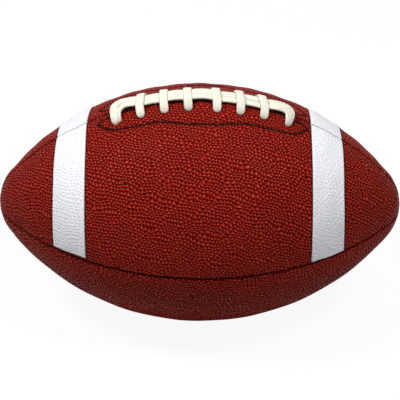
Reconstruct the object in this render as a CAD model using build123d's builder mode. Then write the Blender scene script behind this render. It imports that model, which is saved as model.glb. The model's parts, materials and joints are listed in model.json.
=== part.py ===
"""American football: four sewn leather panels over a bladder, closed by a lace along the top seam.

The long axis runs along X, the lace seam is on top (+Z), and the origin is the belly's lowest point.
Lengths are millimetres and angles are degrees.
"""
import os
from math import acos, asin, atan2, cos, degrees, radians, sin, sqrt

from build123d import *

os.makedirs("parts", exist_ok=True)

# Driving dimensions: the ball
ball_length = 285.0
ball_diameter = 169.3
nose_radius = 34.0

# Driving dimensions: layers, from the skin inwards
leather_thickness = 2.0
lining_thickness = 2.0
facing_thickness = 1.2
tongue_thickness = 1.2
bladder_wall = 1.0
layer_gap = 0.2

# Driving dimensions: panel seams
seam_round = 1.6
seam_valley = 1.3
flange_thickness = 1.4
flange_height = 3.6
flange_end_margin = 24.5
seam_thread_width = 0.9
seam_thread_thickness = 0.6
seam_thread_end = 3.0

# Driving dimensions: the raised welt that the lacing sits on
welt_rise = 2.5
welt_round = 48.0
welt_run_out = 3.0
lacing_offset = 2.3

# Driving dimensions: the lace
lace_width = 5.8
lace_thickness = 2.0
lace_passes = 8
lace_pitch = 16.0
lace_middle_gap = 19.0
lace_hole_offset = 13.2
lace_shoulder = 6.6
lace_bend = 1.8
lace_over_gap = 0.3
lace_end_run = 5.0
strand_gap = 0.3
slot_clearance = 0.2
slit_end_margin = 7.5

# Driving dimensions: facings, tongue and their stitching
stitch_end_margin = 8.5
stitch_side_margin = 10.0
stitch_return = 2.6
stitch_width = 1.0
stitch_thickness = 0.5
facing_margin = 2.5
tongue_width = 36.0
tongue_margin = 6.0
tongue_corner = 8.0

# Driving dimensions: stripes
stripe_from_end = 66.5
stripe_width = 25.9
stripe_thickness = 0.8
stripe_seam_margin = 1.7
stripe_thread_width = 1.3
stripe_thread_thickness = 0.6

# Driving dimensions: inflation valve
valve_stem_radius = 4.5
valve_flange_radius = 10.0
valve_flange_thickness = 1.4
valve_boss_length = 9.0
valve_recess = 0.4
valve_plug_radius = 2.6
valve_clearance = 0.1
needle_bore_radius = 1.0
valve_turn = 225.0

# How far every cut runs past the body that it cuts
overrun = 2.0

# Share of a seam shoulder's chord by which it bulges
shoulder_bulge_share = 0.1

# Shares of the stitching's half length and reach, from its tip to the middle of the lacing
stitch_shares = [
    (0.985, 0.28),
    (0.90, 0.66),
    (0.73, 0.86),
    (0.45, 0.79),
    (0.20, 0.92),
]
stitch_middle_share = 1.0

# Turns about the long axis
quarter_turn = 90.0
half_turn = 180.0

# The four panels, counted from the lace seam towards the front
panel_names = ["front_upper", "front_lower", "rear_lower", "rear_upper"]
laced_panels = (0, 3)
valve_panel = 2

# The ball's outline: one belly arc that runs tangent into a nose arc at each end
half_length = ball_length / 2
ball_radius = ball_diameter / 2
axis_height = ball_radius
nose_centre = half_length - nose_radius
belly_radius = (nose_centre**2 + ball_radius**2 - nose_radius**2) / (2 * (ball_radius - nose_radius))
belly_drop = belly_radius - ball_radius
blend_angle = degrees(atan2(belly_drop, nose_centre))
flange_reach = half_length - flange_end_margin
stripe_inner_edge = half_length - stripe_from_end

# Places along the lacing, measured along the welt's crest from its middle
lace_places = [
    side * (lace_middle_gap / 2 + step * lace_pitch)
    for side in (-1, 1)
    for step in range(lace_passes // 2)
]
lace_places.sort()
strand_end = lace_places[-1] + lace_end_run
slit_half_length = strand_end + slit_end_margin
stitch_half_length = strand_end + stitch_end_margin
stitch_reach = lace_hole_offset + stitch_side_margin

# The welt's outline: a tighter arc along its crest, turned about an axis below it
welt_half_length = stitch_half_length
welt_crest = ball_radius + welt_rise
welt_end_height = sqrt(belly_radius**2 - welt_half_length**2) - belly_drop
welt_fall = welt_crest - welt_end_height
welt_radius = (welt_half_length**2 + welt_fall**2) / (2 * welt_fall)
welt_drop = welt_radius - welt_crest
welt_axis_height = welt_crest - welt_round
welt_reach = welt_half_length + welt_run_out

# Depths of the layers below the skin
lining_depth = leather_thickness + layer_gap
facing_depth = lining_depth + lining_thickness + layer_gap
lace_depth = facing_depth + facing_thickness + layer_gap
lace_floor = lace_depth + lace_thickness
tongue_depth = lace_floor + layer_gap
bladder_depth = leather_thickness + flange_height + layer_gap
recess_depth = tongue_depth + tongue_thickness + layer_gap
seam_cut_back = flange_thickness + layer_gap

# Heights of the lace above the welt's crest
strand_offset = (lace_width + strand_gap) / 2
strand_height = layer_gap + lace_thickness / 2
pass_height = layer_gap + lace_thickness + lace_over_gap + lace_thickness / 2

long_axis = Axis((0, 0, axis_height), (1, 0, 0))
middle_plane = Plane.XY.offset(axis_height)

# The lacing's own upright plane: the long axis plane, turned about the belly arc's centre
lacing_tilt = lacing_offset / belly_radius
lacing_plane = Plane(
    origin=(belly_drop * sin(lacing_tilt), 0, axis_height - belly_drop + belly_drop * cos(lacing_tilt)),
    x_dir=(cos(lacing_tilt), 0, -sin(lacing_tilt)),
    z_dir=(0, -1, 0),
)
welt_axis = Axis(lacing_plane.from_local_coords((0, welt_axis_height, 0)), lacing_plane.x_dir)


def meridian_plane(turn):
    """Plane through the long axis, with its y axis pointing out of the ball at a turn from the top."""
    angle = radians(turn)
    return Plane(origin=(0, 0, axis_height), x_dir=(1, 0, 0), z_dir=(0, -cos(angle), -sin(angle)))


def seam_plane(seam):
    """Plane of one of the four seams: 0 lace, 1 front, 2 bottom, 3 rear."""
    return meridian_plane(seam * quarter_turn)


def lacing_point(place, depth):
    """Point at a depth below the welt's crest, at a place along it."""
    angle = place / welt_radius
    radius = welt_radius - depth
    return lacing_plane.from_local_coords((radius * sin(angle), radius * cos(angle) - welt_drop, 0))


def lace_plane(place):
    """Plane across the lacing, square to the welt's crest, with its y axis pointing out."""
    angle = place / welt_radius + lacing_tilt
    along = Vector(cos(angle), 0, -sin(angle))
    return Plane(origin=lacing_point(place, 0), x_dir=(0, -1, 0), z_dir=-along)


def draw_ball(depth):
    """Half outline of the ball at a depth below its skin, closed along the long axis."""
    with BuildLine() as outline:
        right_nose = CenterArc((nose_centre, 0), nose_radius - depth, 0, blend_angle)
        CenterArc((0, -belly_drop), belly_radius - depth, blend_angle, half_turn - 2 * blend_angle)
        left_nose = CenterArc((-nose_centre, 0), nose_radius - depth, half_turn - blend_angle, blend_angle)
        Line(left_nose @ 1, right_nose @ 0)
    make_face(outline.edges())


def draw_welt(depth):
    """Half outline of the welt at a depth below its skin, closed along its own axis."""
    radius = welt_radius - depth
    start = degrees(acos(welt_reach / radius))
    with BuildLine() as outline:
        crest = CenterArc((0, -welt_drop), radius, start, half_turn - 2 * start)
        Polyline(
            crest @ 1,
            (-welt_reach, welt_axis_height),
            (welt_reach, welt_axis_height),
            crest @ 0,
        )
    make_face(outline.edges())


def draw_belly_strip(outer_depth, inner_depth, start, end):
    """Strip along the belly between two depths, from one place on the skin to another."""
    start_angle = degrees(acos(start / belly_radius))
    end_angle = degrees(acos(end / belly_radius))
    with BuildLine() as outline:
        outer = CenterArc((0, -belly_drop), belly_radius - outer_depth, end_angle, start_angle - end_angle)
        inner = CenterArc((0, -belly_drop), belly_radius - inner_depth, end_angle, start_angle - end_angle)
        Line(outer @ 0, inner @ 0)
        Line(outer @ 1, inner @ 1)
    make_face(outline.edges())


def draw_groove(radius):
    """Section of the valley at a seam, with a rounded shoulder on both sides."""
    shoulder = Vector(seam_round, -seam_valley) / 2 + Vector(-seam_valley, seam_round) * shoulder_bulge_share
    with BuildLine() as outline:
        for side in (-1, 1):
            ThreePointArc(
                (0, radius - seam_valley),
                (side * shoulder.X, radius + shoulder.Y),
                (side * seam_round, radius),
            )
        Polyline(
            (-seam_round, radius),
            (-seam_round, radius + overrun),
            (seam_round, radius + overrun),
            (seam_round, radius),
        )
    make_face(outline.edges())


def draw_flat_run(start, end):
    """Plan of a lace run below the leather, from one hole to another."""
    half_width = lace_width / 2
    Polygon(
        (start[0] - half_width, start[1]),
        (end[0] - half_width, end[1]),
        (end[0] + half_width, end[1]),
        (start[0] + half_width, start[1]),
        align=None,
    )


def stitch_points(margin):
    """Points of the front facing's outline, from its left end to its right end."""
    half = [
        ((stitch_half_length + margin) * along, (stitch_reach + margin) * across)
        for along, across in stitch_shares
    ]
    half.insert(0, (strand_end + stitch_return + margin, stitch_return))
    middle = [(0, (stitch_reach + margin) * stitch_middle_share)]
    left = [(-along, across) for along, across in half]
    return [(lacing_offset + along, -across) for along, across in left + middle + half[::-1]]


def groove_along(plane, arcs):
    """Valley that follows arcs in a plane, each with its centre, radius, start angle and sweep."""
    with BuildPart() as groove:
        for centre, radius, start, sweep in arcs:
            origin = plane.from_local_coords((*centre, 0))
            outward = plane.x_dir * cos(radians(start)) + plane.y_dir * sin(radians(start))
            with BuildSketch(Plane(origin=origin, x_dir=plane.z_dir, z_dir=plane.z_dir.cross(outward))):
                draw_groove(radius)
            revolve(axis=Axis(origin, plane.z_dir), revolution_arc=sweep)
    return groove.part


def ball_at(depth, with_welt=True):
    """Whole ball, as a solid, at a depth below its skin."""
    with BuildPart() as body:
        with BuildSketch(seam_plane(0)):
            draw_ball(depth)
        revolve(axis=long_axis)
        if with_welt:
            with BuildSketch(lacing_plane):
                draw_welt(depth)
            revolve(axis=welt_axis)
    return body.part


def layer_between(outer_depth, inner_depth):
    """Closed shell of the ball between two depths."""
    outer = ball_at(outer_depth)
    inner = ball_at(inner_depth)
    with BuildPart() as layer:
        add(outer)
        add(inner, mode=Mode.SUBTRACT)
    return layer.part


def write(part, name):
    """Label a finished piece and write it out."""
    part.label = name
    export_step(part, f"parts/{name}.step")


leather_inside = ball_at(leather_thickness)

# Slots that the lace passes through, cut square to the welt
with BuildPart() as lace_slots:
    slot_half_thickness = lace_thickness / 2 + slot_clearance
    slot_bottom = -lace_floor - welt_rise - overrun
    slot_top = overrun
    for place in lace_places:
        with BuildSketch(lace_plane(place)):
            for side in (-1, 1):
                with Locations((side * lace_hole_offset, (slot_top + slot_bottom) / 2)):
                    Rectangle(2 * slot_half_thickness, slot_top - slot_bottom)
        extrude(amount=lace_width / 2 + slot_clearance, both=True)
    for place in (-strand_end, strand_end):
        with BuildSketch(lace_plane(place)):
            with Locations((0, (slot_top + slot_bottom) / 2)):
                Rectangle(2 * (strand_offset + lace_width / 2 + slot_clearance), slot_top - slot_bottom)
        extrude(amount=lace_bend + slot_clearance, both=True)

# Hole for the valve, square to the rear lower panel
valve_plane = meridian_plane(valve_turn)
valve_axis = Axis((0, 0, axis_height), valve_plane.y_dir)
with BuildPart() as valve_hole:
    with BuildSketch(Plane(origin=(0, 0, axis_height), x_dir=(1, 0, 0), z_dir=valve_plane.y_dir)):
        Circle(valve_stem_radius + valve_clearance)
    extrude(amount=ball_radius + overrun)

# Half of the welt, up to the slit
with BuildPart() as front_welt:
    with BuildSketch(lacing_plane):
        draw_welt(0)
    revolve(axis=welt_axis, revolution_arc=half_turn)
welt_halves = {0: front_welt.part, 3: mirror(front_welt.part, about=Plane.XZ, mode=Mode.PRIVATE)}

# Valleys along the seams: a nose, the belly and the other nose, and along the welt's slit
tip_run_out = degrees(overrun / nose_radius)
seam_arcs = [
    ((nose_centre, 0), nose_radius, -tip_run_out, blend_angle + tip_run_out),
    ((0, -belly_drop), belly_radius, blend_angle, half_turn - 2 * blend_angle),
    ((-nose_centre, 0), nose_radius, half_turn - blend_angle, blend_angle + tip_run_out),
]
seam_grooves = [groove_along(seam_plane(seam), seam_arcs) for seam in range(len(panel_names))]
welt_half_angle = degrees(asin(welt_half_length / welt_radius))
slit_arc = ((0, -welt_drop), welt_radius, quarter_turn - welt_half_angle, 2 * welt_half_angle)
slit_groove = groove_along(lacing_plane, [slit_arc])

# Leather panels: a quarter of the skin each, rounded and turned in at its seams
for quarter, name in enumerate(panel_names):
    with BuildPart() as panel:
        with BuildSketch(seam_plane(quarter)):
            draw_ball(0)
        revolve(axis=long_axis, revolution_arc=quarter_turn)
        add(seam_grooves[quarter], mode=Mode.SUBTRACT)
        add(seam_grooves[(quarter + 1) % len(panel_names)], mode=Mode.SUBTRACT)
        if quarter in laced_panels:
            add(welt_halves[quarter])
            add(slit_groove, mode=Mode.SUBTRACT)
        add(leather_inside, mode=Mode.SUBTRACT)
        for seam, inward in ((quarter, 1), (quarter + 1, -1)):
            with BuildSketch(seam_plane(seam)):
                draw_belly_strip(
                    leather_thickness / 2, leather_thickness + flange_height, -flange_reach, flange_reach
                )
                if seam % len(panel_names) == 0:
                    with Locations((lacing_offset, ball_radius)):
                        Rectangle(2 * slit_half_length, ball_radius, mode=Mode.SUBTRACT)
            extrude(amount=inward * flange_thickness)
        if quarter in laced_panels:
            add(lace_slots.part, mode=Mode.SUBTRACT)
        if quarter == valve_panel:
            add(valve_hole.part, mode=Mode.SUBTRACT)
    write(panel.part, f"panel_{name}")

# Cloth linings, cut back from the turned seam edges
lining_layer = layer_between(lining_depth, lining_depth + lining_thickness)
for quarter, name in enumerate(panel_names):
    with BuildPart() as lining:
        add(lining_layer)
        split(bisect_by=seam_plane(quarter).offset(seam_cut_back), keep=Keep.TOP)
        split(bisect_by=seam_plane(quarter + 1).offset(-seam_cut_back), keep=Keep.BOTTOM)
        if quarter in laced_panels:
            add(lace_slots.part, mode=Mode.SUBTRACT)
        if quarter == valve_panel:
            add(valve_hole.part, mode=Mode.SUBTRACT)
    write(lining.part, f"lining_{name}")

# Facings behind the lace holes, and the stitching that holds each one
facing_layer = layer_between(facing_depth, facing_depth + facing_thickness)
stitch_layer = layer_between(-layer_gap - stitch_thickness, -layer_gap)
with BuildPart() as facing_front:
    with BuildSketch(middle_plane):
        with BuildLine():
            edge = Spline(*stitch_points(facing_margin))
            Polyline(
                edge @ 1,
                ((edge @ 1).X, -seam_cut_back),
                ((edge @ 0).X, -seam_cut_back),
                edge @ 0,
            )
        make_face()
    extrude(amount=ball_radius)
    add(facing_layer, mode=Mode.INTERSECT)
    add(lace_slots.part, mode=Mode.SUBTRACT)
write(facing_front.part, "lace_facing_front")

with BuildPart() as facing_rear:
    mirror(facing_front.part, about=Plane.XZ)
write(facing_rear.part, "lace_facing_rear")

with BuildPart() as stitching_front:
    with BuildSketch(middle_plane):
        with BuildLine():
            Spline(*stitch_points(0))
        trace(line_width=stitch_width)
    extrude(amount=ball_diameter)
    add(stitch_layer, mode=Mode.INTERSECT)
write(stitching_front.part, "facing_stitching_front")

with BuildPart() as stitching_rear:
    mirror(stitching_front.part, about=Plane.XZ)
write(stitching_rear.part, "facing_stitching_rear")

# Tongue between the lace and the bladder
tongue_layer = layer_between(tongue_depth, tongue_depth + tongue_thickness)
with BuildPart() as tongue:
    with BuildSketch(middle_plane):
        with Locations((lacing_offset, 0)):
            RectangleRounded(2 * (slit_half_length + tongue_margin), tongue_width, tongue_corner)
    extrude(amount=ball_radius)
    add(tongue_layer, mode=Mode.INTERSECT)
write(tongue.part, "tongue")

# Lace: two strands along the slit, eight passes over them, and the runs below the leather
lace_layer = layer_between(lace_depth, lace_floor)
lace_core = ball_at(lace_floor)
run_edge = lace_hole_offset + lace_thickness / 2
run_places = [lacing_point(place, lace_depth).X for place in lace_places]
run_ends = [lacing_point(place, lace_depth).X for place in (-strand_end, strand_end)]
with BuildPart() as lace_runs:
    with BuildSketch(middle_plane):
        for first, second in zip(run_places, run_places[1:]):
            draw_flat_run((first, run_edge), (second, -run_edge))
        draw_flat_run((run_ends[0], 0), (run_places[0], -run_edge))
        draw_flat_run((run_places[-1], run_edge), (run_ends[1], 0))
        for end in run_ends:
            with Locations((end, 0)):
                Rectangle(lace_width, 2 * strand_offset + lace_width)
    extrude(amount=ball_radius)
    add(lace_layer, mode=Mode.INTERSECT)

leg_bottom = -lace_floor - welt_rise
with BuildPart() as lace:
    for place in lace_places:
        with BuildSketch(lace_plane(place)):
            with BuildLine():
                FilletPolyline(
                    (-lace_hole_offset, leg_bottom),
                    (-lace_hole_offset, 0),
                    (-lace_shoulder, pass_height),
                    (lace_shoulder, pass_height),
                    (lace_hole_offset, 0),
                    (lace_hole_offset, leg_bottom),
                    radius=lace_bend,
                )
            trace(line_width=lace_thickness)
        extrude(amount=lace_width / 2, both=True)
    for side in (-1, 1):
        with BuildSketch(lacing_plane.offset(side * strand_offset)):
            strand_radius = welt_radius + strand_height
            strand_angle = degrees(strand_end / welt_radius)
            centre = (0, -welt_drop)
            with BuildLine() as strand:
                crest = CenterArc(centre, strand_radius, quarter_turn - strand_angle, 2 * strand_angle)
                for end in (crest @ 0, crest @ 1):
                    inward = (Vector(*centre) - end).normalized()
                    Line(end, end + inward * (strand_height - leg_bottom))
                fillet(strand.vertices(), lace_bend)
            trace(line_width=lace_thickness)
        extrude(amount=lace_width / 2, both=True)
    add(lace_core, mode=Mode.SUBTRACT)
    add(lace_runs.part)
write(lace.part, "lace")

# White stripes on the upper panels, with a thread line along both edges
stripe_outer_angle = asin(stripe_inner_edge / belly_radius) + stripe_width / belly_radius
stripe_outer_edge = belly_radius * sin(stripe_outer_angle)
stripe_ring_radius = sqrt(belly_radius**2 - stripe_outer_edge**2) - belly_drop
stripe_margin_turn = degrees(stripe_seam_margin / stripe_ring_radius)
stripe_turn = quarter_turn - 2 * stripe_margin_turn
for end, end_name in ((-1, "left"), (1, "right")):
    for quarter, side_name in ((0, "front"), (3, "rear")):
        stripe_plane = meridian_plane(quarter * quarter_turn + stripe_margin_turn)
        stripe_edges = sorted((end * stripe_inner_edge, end * stripe_outer_edge))
        with BuildPart() as stripe:
            with BuildSketch(stripe_plane):
                draw_belly_strip(-layer_gap - stripe_thickness, -layer_gap, *stripe_edges)
            revolve(axis=long_axis, revolution_arc=stripe_turn)
        write(stripe.part, f"stripe_{end_name}_{side_name}")

        thread_edges = (
            (stripe_edges[0] - layer_gap - stripe_thread_width, stripe_edges[0] - layer_gap),
            (stripe_edges[1] + layer_gap, stripe_edges[1] + layer_gap + stripe_thread_width),
        )
        with BuildPart() as stripe_stitching:
            for thread_edge in thread_edges:
                with BuildSketch(stripe_plane):
                    draw_belly_strip(-layer_gap - stripe_thread_thickness, -layer_gap, *thread_edge)
                revolve(axis=long_axis, revolution_arc=stripe_turn)
        write(stripe_stitching.part, f"stripe_stitching_{end_name}_{side_name}")

# Lock stitching through the turned seam edges, one line on each face
thread_depth = lining_depth + lining_thickness + layer_gap
thread_reach = flange_reach - seam_thread_end
thread_face = flange_thickness + layer_gap
for seam, name in enumerate(("lace", "front", "bottom", "rear")):
    with BuildPart() as seam_stitching:
        for inward in (-1, 1):
            with BuildSketch(seam_plane(seam).offset(inward * thread_face)):
                draw_belly_strip(thread_depth, thread_depth + seam_thread_width, -thread_reach, thread_reach)
                if seam == 0:
                    with Locations((lacing_offset, ball_radius)):
                        slit_clear = slit_half_length + tongue_margin + seam_thread_end
                        Rectangle(2 * slit_clear, ball_radius, mode=Mode.SUBTRACT)
            extrude(amount=inward * seam_thread_thickness)
    write(seam_stitching.part, f"seam_stitching_{name}")

# Bladder: one thin skin that rests on the seam edges and dips below the tongue
bladder_outside = ball_at(bladder_depth, with_welt=False)
bladder_inside = ball_at(bladder_depth + bladder_wall, with_welt=False)
recess_floor = ball_at(recess_depth)
recess_inner_floor = ball_at(recess_depth + bladder_wall)


def recess_above(floor, wall):
    """Space above a floor that the bladder leaves for the lace and the tongue."""
    with BuildPart() as recess:
        with BuildSketch(middle_plane):
            with Locations((lacing_offset, 0)):
                grow = 2 * (layer_gap + wall)
                length = 2 * (slit_half_length + tongue_margin)
                RectangleRounded(length + grow, tongue_width + grow, tongue_corner + wall)
        extrude(amount=ball_radius)
        add(floor, mode=Mode.SUBTRACT)
    return recess.part


outer_recess = recess_above(recess_floor, 0)
inner_recess = recess_above(recess_inner_floor, bladder_wall)
with BuildPart() as bladder_space:
    add(bladder_inside)
    add(inner_recess, mode=Mode.SUBTRACT)
with BuildPart() as bladder:
    add(bladder_outside)
    add(outer_recess, mode=Mode.SUBTRACT)
    add(bladder_space.part, mode=Mode.SUBTRACT)
    add(valve_hole.part, mode=Mode.SUBTRACT)
write(bladder.part, "bladder")

# Valve housing, seated inside the bladder, and the rubber plug that the needle goes through
valve_top = ball_radius - valve_recess
seat_radius = ball_radius - bladder_depth - bladder_wall
valve_seat = sqrt(seat_radius**2 - valve_flange_radius**2) - layer_gap
valve_bottom = valve_seat - valve_boss_length
with BuildPart() as valve_housing:
    with BuildSketch(valve_plane):
        with BuildLine():
            Polyline(
                (valve_plug_radius, valve_bottom),
                (valve_stem_radius, valve_bottom),
                (valve_stem_radius, valve_seat - valve_flange_thickness),
                (valve_flange_radius, valve_seat - valve_flange_thickness),
                (valve_flange_radius, valve_seat),
                (valve_stem_radius, valve_seat),
                (valve_stem_radius, valve_top),
                (valve_plug_radius, valve_top),
                close=True,
            )
        make_face()
    revolve(axis=valve_axis)
write(valve_housing.part, "valve_housing")

with BuildPart() as valve_plug:
    with BuildSketch(valve_plane):
        with BuildLine():
            Polyline(
                (needle_bore_radius, valve_bottom),
                (valve_plug_radius - valve_clearance, valve_bottom),
                (valve_plug_radius - valve_clearance, valve_top),
                (needle_bore_radius, valve_top),
                close=True,
            )
        make_face()
    revolve(axis=valve_axis)
write(valve_plug.part, "valve_plug")
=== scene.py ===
"""American football: pebbled leather panels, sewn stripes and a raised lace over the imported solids.

Lengths are metres and angles are degrees, unless a name says otherwise. The long axis runs along X,
the lace seam is on top (+Z), the front is -Y, and the ball rests on its belly at the origin.
"""
from __future__ import annotations

import json
import logging
import math
from abc import ABC, abstractmethod
from collections.abc import Iterator, Sequence
from contextlib import contextmanager
from dataclasses import dataclass, field
from enum import Enum

import bmesh
import bpy
import numpy as np
from mathutils import Euler, Matrix, Vector

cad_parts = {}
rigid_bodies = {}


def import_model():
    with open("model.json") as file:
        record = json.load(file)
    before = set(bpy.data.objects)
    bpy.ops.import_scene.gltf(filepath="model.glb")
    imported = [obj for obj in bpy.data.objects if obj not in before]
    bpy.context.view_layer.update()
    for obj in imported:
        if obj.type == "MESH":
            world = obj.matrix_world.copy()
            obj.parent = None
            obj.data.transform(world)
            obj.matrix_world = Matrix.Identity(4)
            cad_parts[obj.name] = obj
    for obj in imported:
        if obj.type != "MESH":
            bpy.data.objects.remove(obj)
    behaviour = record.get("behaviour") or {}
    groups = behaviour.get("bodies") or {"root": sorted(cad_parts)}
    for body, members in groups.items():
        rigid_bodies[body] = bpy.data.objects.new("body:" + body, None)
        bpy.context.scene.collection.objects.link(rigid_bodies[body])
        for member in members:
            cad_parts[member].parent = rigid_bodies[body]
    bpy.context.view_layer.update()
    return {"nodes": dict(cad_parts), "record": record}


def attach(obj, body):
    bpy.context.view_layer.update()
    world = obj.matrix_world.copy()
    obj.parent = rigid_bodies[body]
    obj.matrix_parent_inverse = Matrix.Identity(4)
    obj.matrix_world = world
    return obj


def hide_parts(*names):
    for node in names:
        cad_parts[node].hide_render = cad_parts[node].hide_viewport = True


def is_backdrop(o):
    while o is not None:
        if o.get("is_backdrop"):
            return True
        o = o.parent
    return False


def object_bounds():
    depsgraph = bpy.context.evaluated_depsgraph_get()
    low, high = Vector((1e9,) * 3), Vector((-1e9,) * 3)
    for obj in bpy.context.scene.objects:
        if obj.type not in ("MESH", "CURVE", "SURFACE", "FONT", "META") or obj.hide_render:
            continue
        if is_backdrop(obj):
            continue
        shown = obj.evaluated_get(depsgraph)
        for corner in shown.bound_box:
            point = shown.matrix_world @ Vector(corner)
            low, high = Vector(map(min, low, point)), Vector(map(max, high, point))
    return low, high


LOG = logging.getLogger("football")
BODY = "root"
QUARTER = 90.0
WHITE = (1.0, 1.0, 1.0, 1.0)

Array = np.ndarray
Colour = tuple[float, float, float, float]
Faces = list[tuple[int, ...]]
Groups = dict[str, bpy.types.NodeTree]
Pair = tuple[float, float]


class Side(Enum):
    """Side of the lace seam."""

    FRONT = ("front", -1, 0)
    REAR = ("rear", 1, 3)

    def __init__(self, label: str, sign: int, quarter: int) -> None:
        """Keep the name that its nodes carry, its sign along Y and the number of its upper panel."""
        self.label, self.sign, self.quarter = label, sign, quarter


class End(Enum):
    """End of the ball."""

    LEFT = ("left", -1)
    RIGHT = ("right", 1)

    def __init__(self, label: str, sign: int) -> None:
        """Keep the name that its nodes carry and its sign along X."""
        self.label, self.sign = label, sign


class Mask(Enum):
    """Point attributes that tell a finish where the surface is worked, and where crease shade is painted."""

    # Where shade is painted: seam valleys, the stitch channel, the lace holes, the valve lip, the stripes'
    # edges and the lace's pinched ends
    CREASE = "crease"
    GRAIN = "grain"
    HIDE = "hide_place"
    NORMAL = "surface_normal"


def screen_colour(red: int, green: int, blue: int) -> Colour:
    """Turn three eight-bit screen values into a linear colour.

    Args:
        red: Red from 0 to 255.
        green: Green from 0 to 255.
        blue: Blue from 0 to 255.

    Returns:
        The linear colour, opaque.
    """
    low, scale, offset, power = 0.04045, 12.92, 0.055, 2.4
    linear = []
    for value in (red / 255, green / 255, blue / 255):
        linear.append(value / scale if value <= low else ((value + offset) / (1 + offset)) ** power)
    return (*linear, 1.0)


def smooth_step(low: float, high: float, value: Array) -> Array:
    """Rise smoothly from 0 at a low value to 1 at a high one."""
    share = np.clip((value - low) / (high - low), 0, 1)
    return share * share * (3 - 2 * share)


def through_points(points: Sequence[Sequence[float]], steps: int) -> Array:
    """Draw a smooth line through points.

    Args:
        points: The points, in order.
        steps: How many pieces each span is drawn in.

    Returns:
        The line's points, one row each.
    """
    given = np.asarray(points, float)
    padded = np.vstack([2 * given[0] - given[1], given, 2 * given[-1] - given[-2]])
    share = np.linspace(0, 1, steps, endpoint=False)[:, None]
    spans = []
    for before, start, end, after in zip(padded, padded[1:], padded[2:], padded[3:]):
        slope = (end - before) / 2
        bend = before - 2.5 * start + 2 * end - after / 2
        twist = (after - before) / 2 + 1.5 * (start - end)
        spans.append(start + slope * share + bend * share**2 + twist * share**3)
    return np.vstack([*spans, given[-1:]])


def cut_corners(points: Sequence[Sequence[float]], rounds: int) -> Array:
    """Round a line's corners by cutting them again and again.

    Args:
        points: The line's corners, in order.
        rounds: How often every corner is cut.

    Returns:
        The rounded line's points, one row each.
    """
    line = np.asarray(points, float)
    for _ in range(rounds):
        near = 0.75 * line[:-1] + 0.25 * line[1:]
        far = 0.25 * line[:-1] + 0.75 * line[1:]
        middle = np.stack([near, far], axis=1).reshape(-1, line.shape[1])
        line = np.vstack([line[:1], middle, line[-1:]])
    return line


def new_object(name: str, data: bpy.types.ID) -> bpy.types.Object:
    """Put a mesh, a light or a camera into the scene as an object at the origin.

    Args:
        name: The object's name.
        data: What it shows.

    Returns:
        The new object.
    """
    data.name = name
    item = bpy.data.objects.new(name, data)
    bpy.context.scene.collection.objects.link(item)
    return item


def smooth_mesh(name: str, points: Array, faces: Faces) -> bpy.types.Mesh:
    """Make a smooth-shaded mesh.

    Args:
        name: The mesh's name.
        points: Its points, one row each.
        faces: Its faces, as point numbers that run anticlockwise seen from outside.

    Returns:
        The new mesh.
    """
    mesh = bpy.data.meshes.new(name)
    mesh.from_pydata(points.tolist(), [], faces)
    mesh.polygons.foreach_set("use_smooth", [True] * len(mesh.polygons))
    mesh.update()
    return mesh


def store(mesh: bpy.types.Mesh, mask: Mask, values: Array) -> None:
    """Store a value or a direction for every point of a mesh.

    Args:
        mesh: The mesh.
        mask: The attribute's name.
        values: One number or one row of three for each point.
    """
    vectors = values.ndim == 2
    attribute = mesh.attributes.new(mask.value, "FLOAT_VECTOR" if vectors else "FLOAT", "POINT")
    plain = np.ascontiguousarray(values, np.float32).ravel()
    attribute.data.foreach_set("vector" if vectors else "value", plain)


@contextmanager
def opened(mesh: bpy.types.Mesh) -> Iterator[bmesh.types.BMesh]:
    """Open a mesh for editing, and write it back at the end.

    Args:
        mesh: The mesh.

    Yields:
        The mesh in its editable form.
    """
    work = bmesh.new()
    work.from_mesh(mesh)
    yield work
    work.to_mesh(mesh)
    work.free()


def drop_loose(mesh: bpy.types.Mesh) -> None:
    """Take out the points that no face uses."""
    with opened(mesh) as work:
        bmesh.ops.delete(work, geom=[point for point in work.verts if not point.link_faces], context="VERTS")


def face_outwards(mesh: bpy.types.Mesh) -> None:
    """Turn every face of a mesh's closed shapes outwards."""
    with opened(mesh) as work:
        bmesh.ops.recalc_face_normals(work, faces=work.faces)


def grid_quads(grid: Array) -> Array:
    """List the four points of every face of a grid of point numbers, in rows and columns."""
    return np.stack([grid[:-1, :-1], grid[:-1, 1:], grid[1:, 1:], grid[1:, :-1]], axis=-1)


def grid_faces(grid: Array, closed: bool = False) -> Faces:
    """Make the faces of a grid of point numbers.

    Args:
        grid: The point numbers in rows and columns.
        closed: Whether the last column is joined to the first one.

    Returns:
        The faces.
    """
    columns = np.hstack([grid, grid[:, :1]]) if closed else grid
    return [tuple(quad) for quad in grid_quads(columns).reshape(-1, 4).tolist()]


def unit(rows: Array) -> Array:
    """Scale every row to a length of 1."""
    return rows / np.linalg.norm(rows, axis=-1, keepdims=True)


def freeze(piece: bpy.types.Object) -> None:
    """Turn a piece's modifiers into a plain mesh.

    Args:
        piece: The piece, which keeps no modifier.
    """
    graph = bpy.context.evaluated_depsgraph_get()
    worked_out = piece.evaluated_get(graph)
    plain = bpy.data.meshes.new_from_object(worked_out, preserve_all_data_layers=True, depsgraph=graph)
    worked = piece.data
    piece.modifiers.clear()
    piece.data = plain
    bpy.data.meshes.remove(worked)
    plain.name = piece.name


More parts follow.
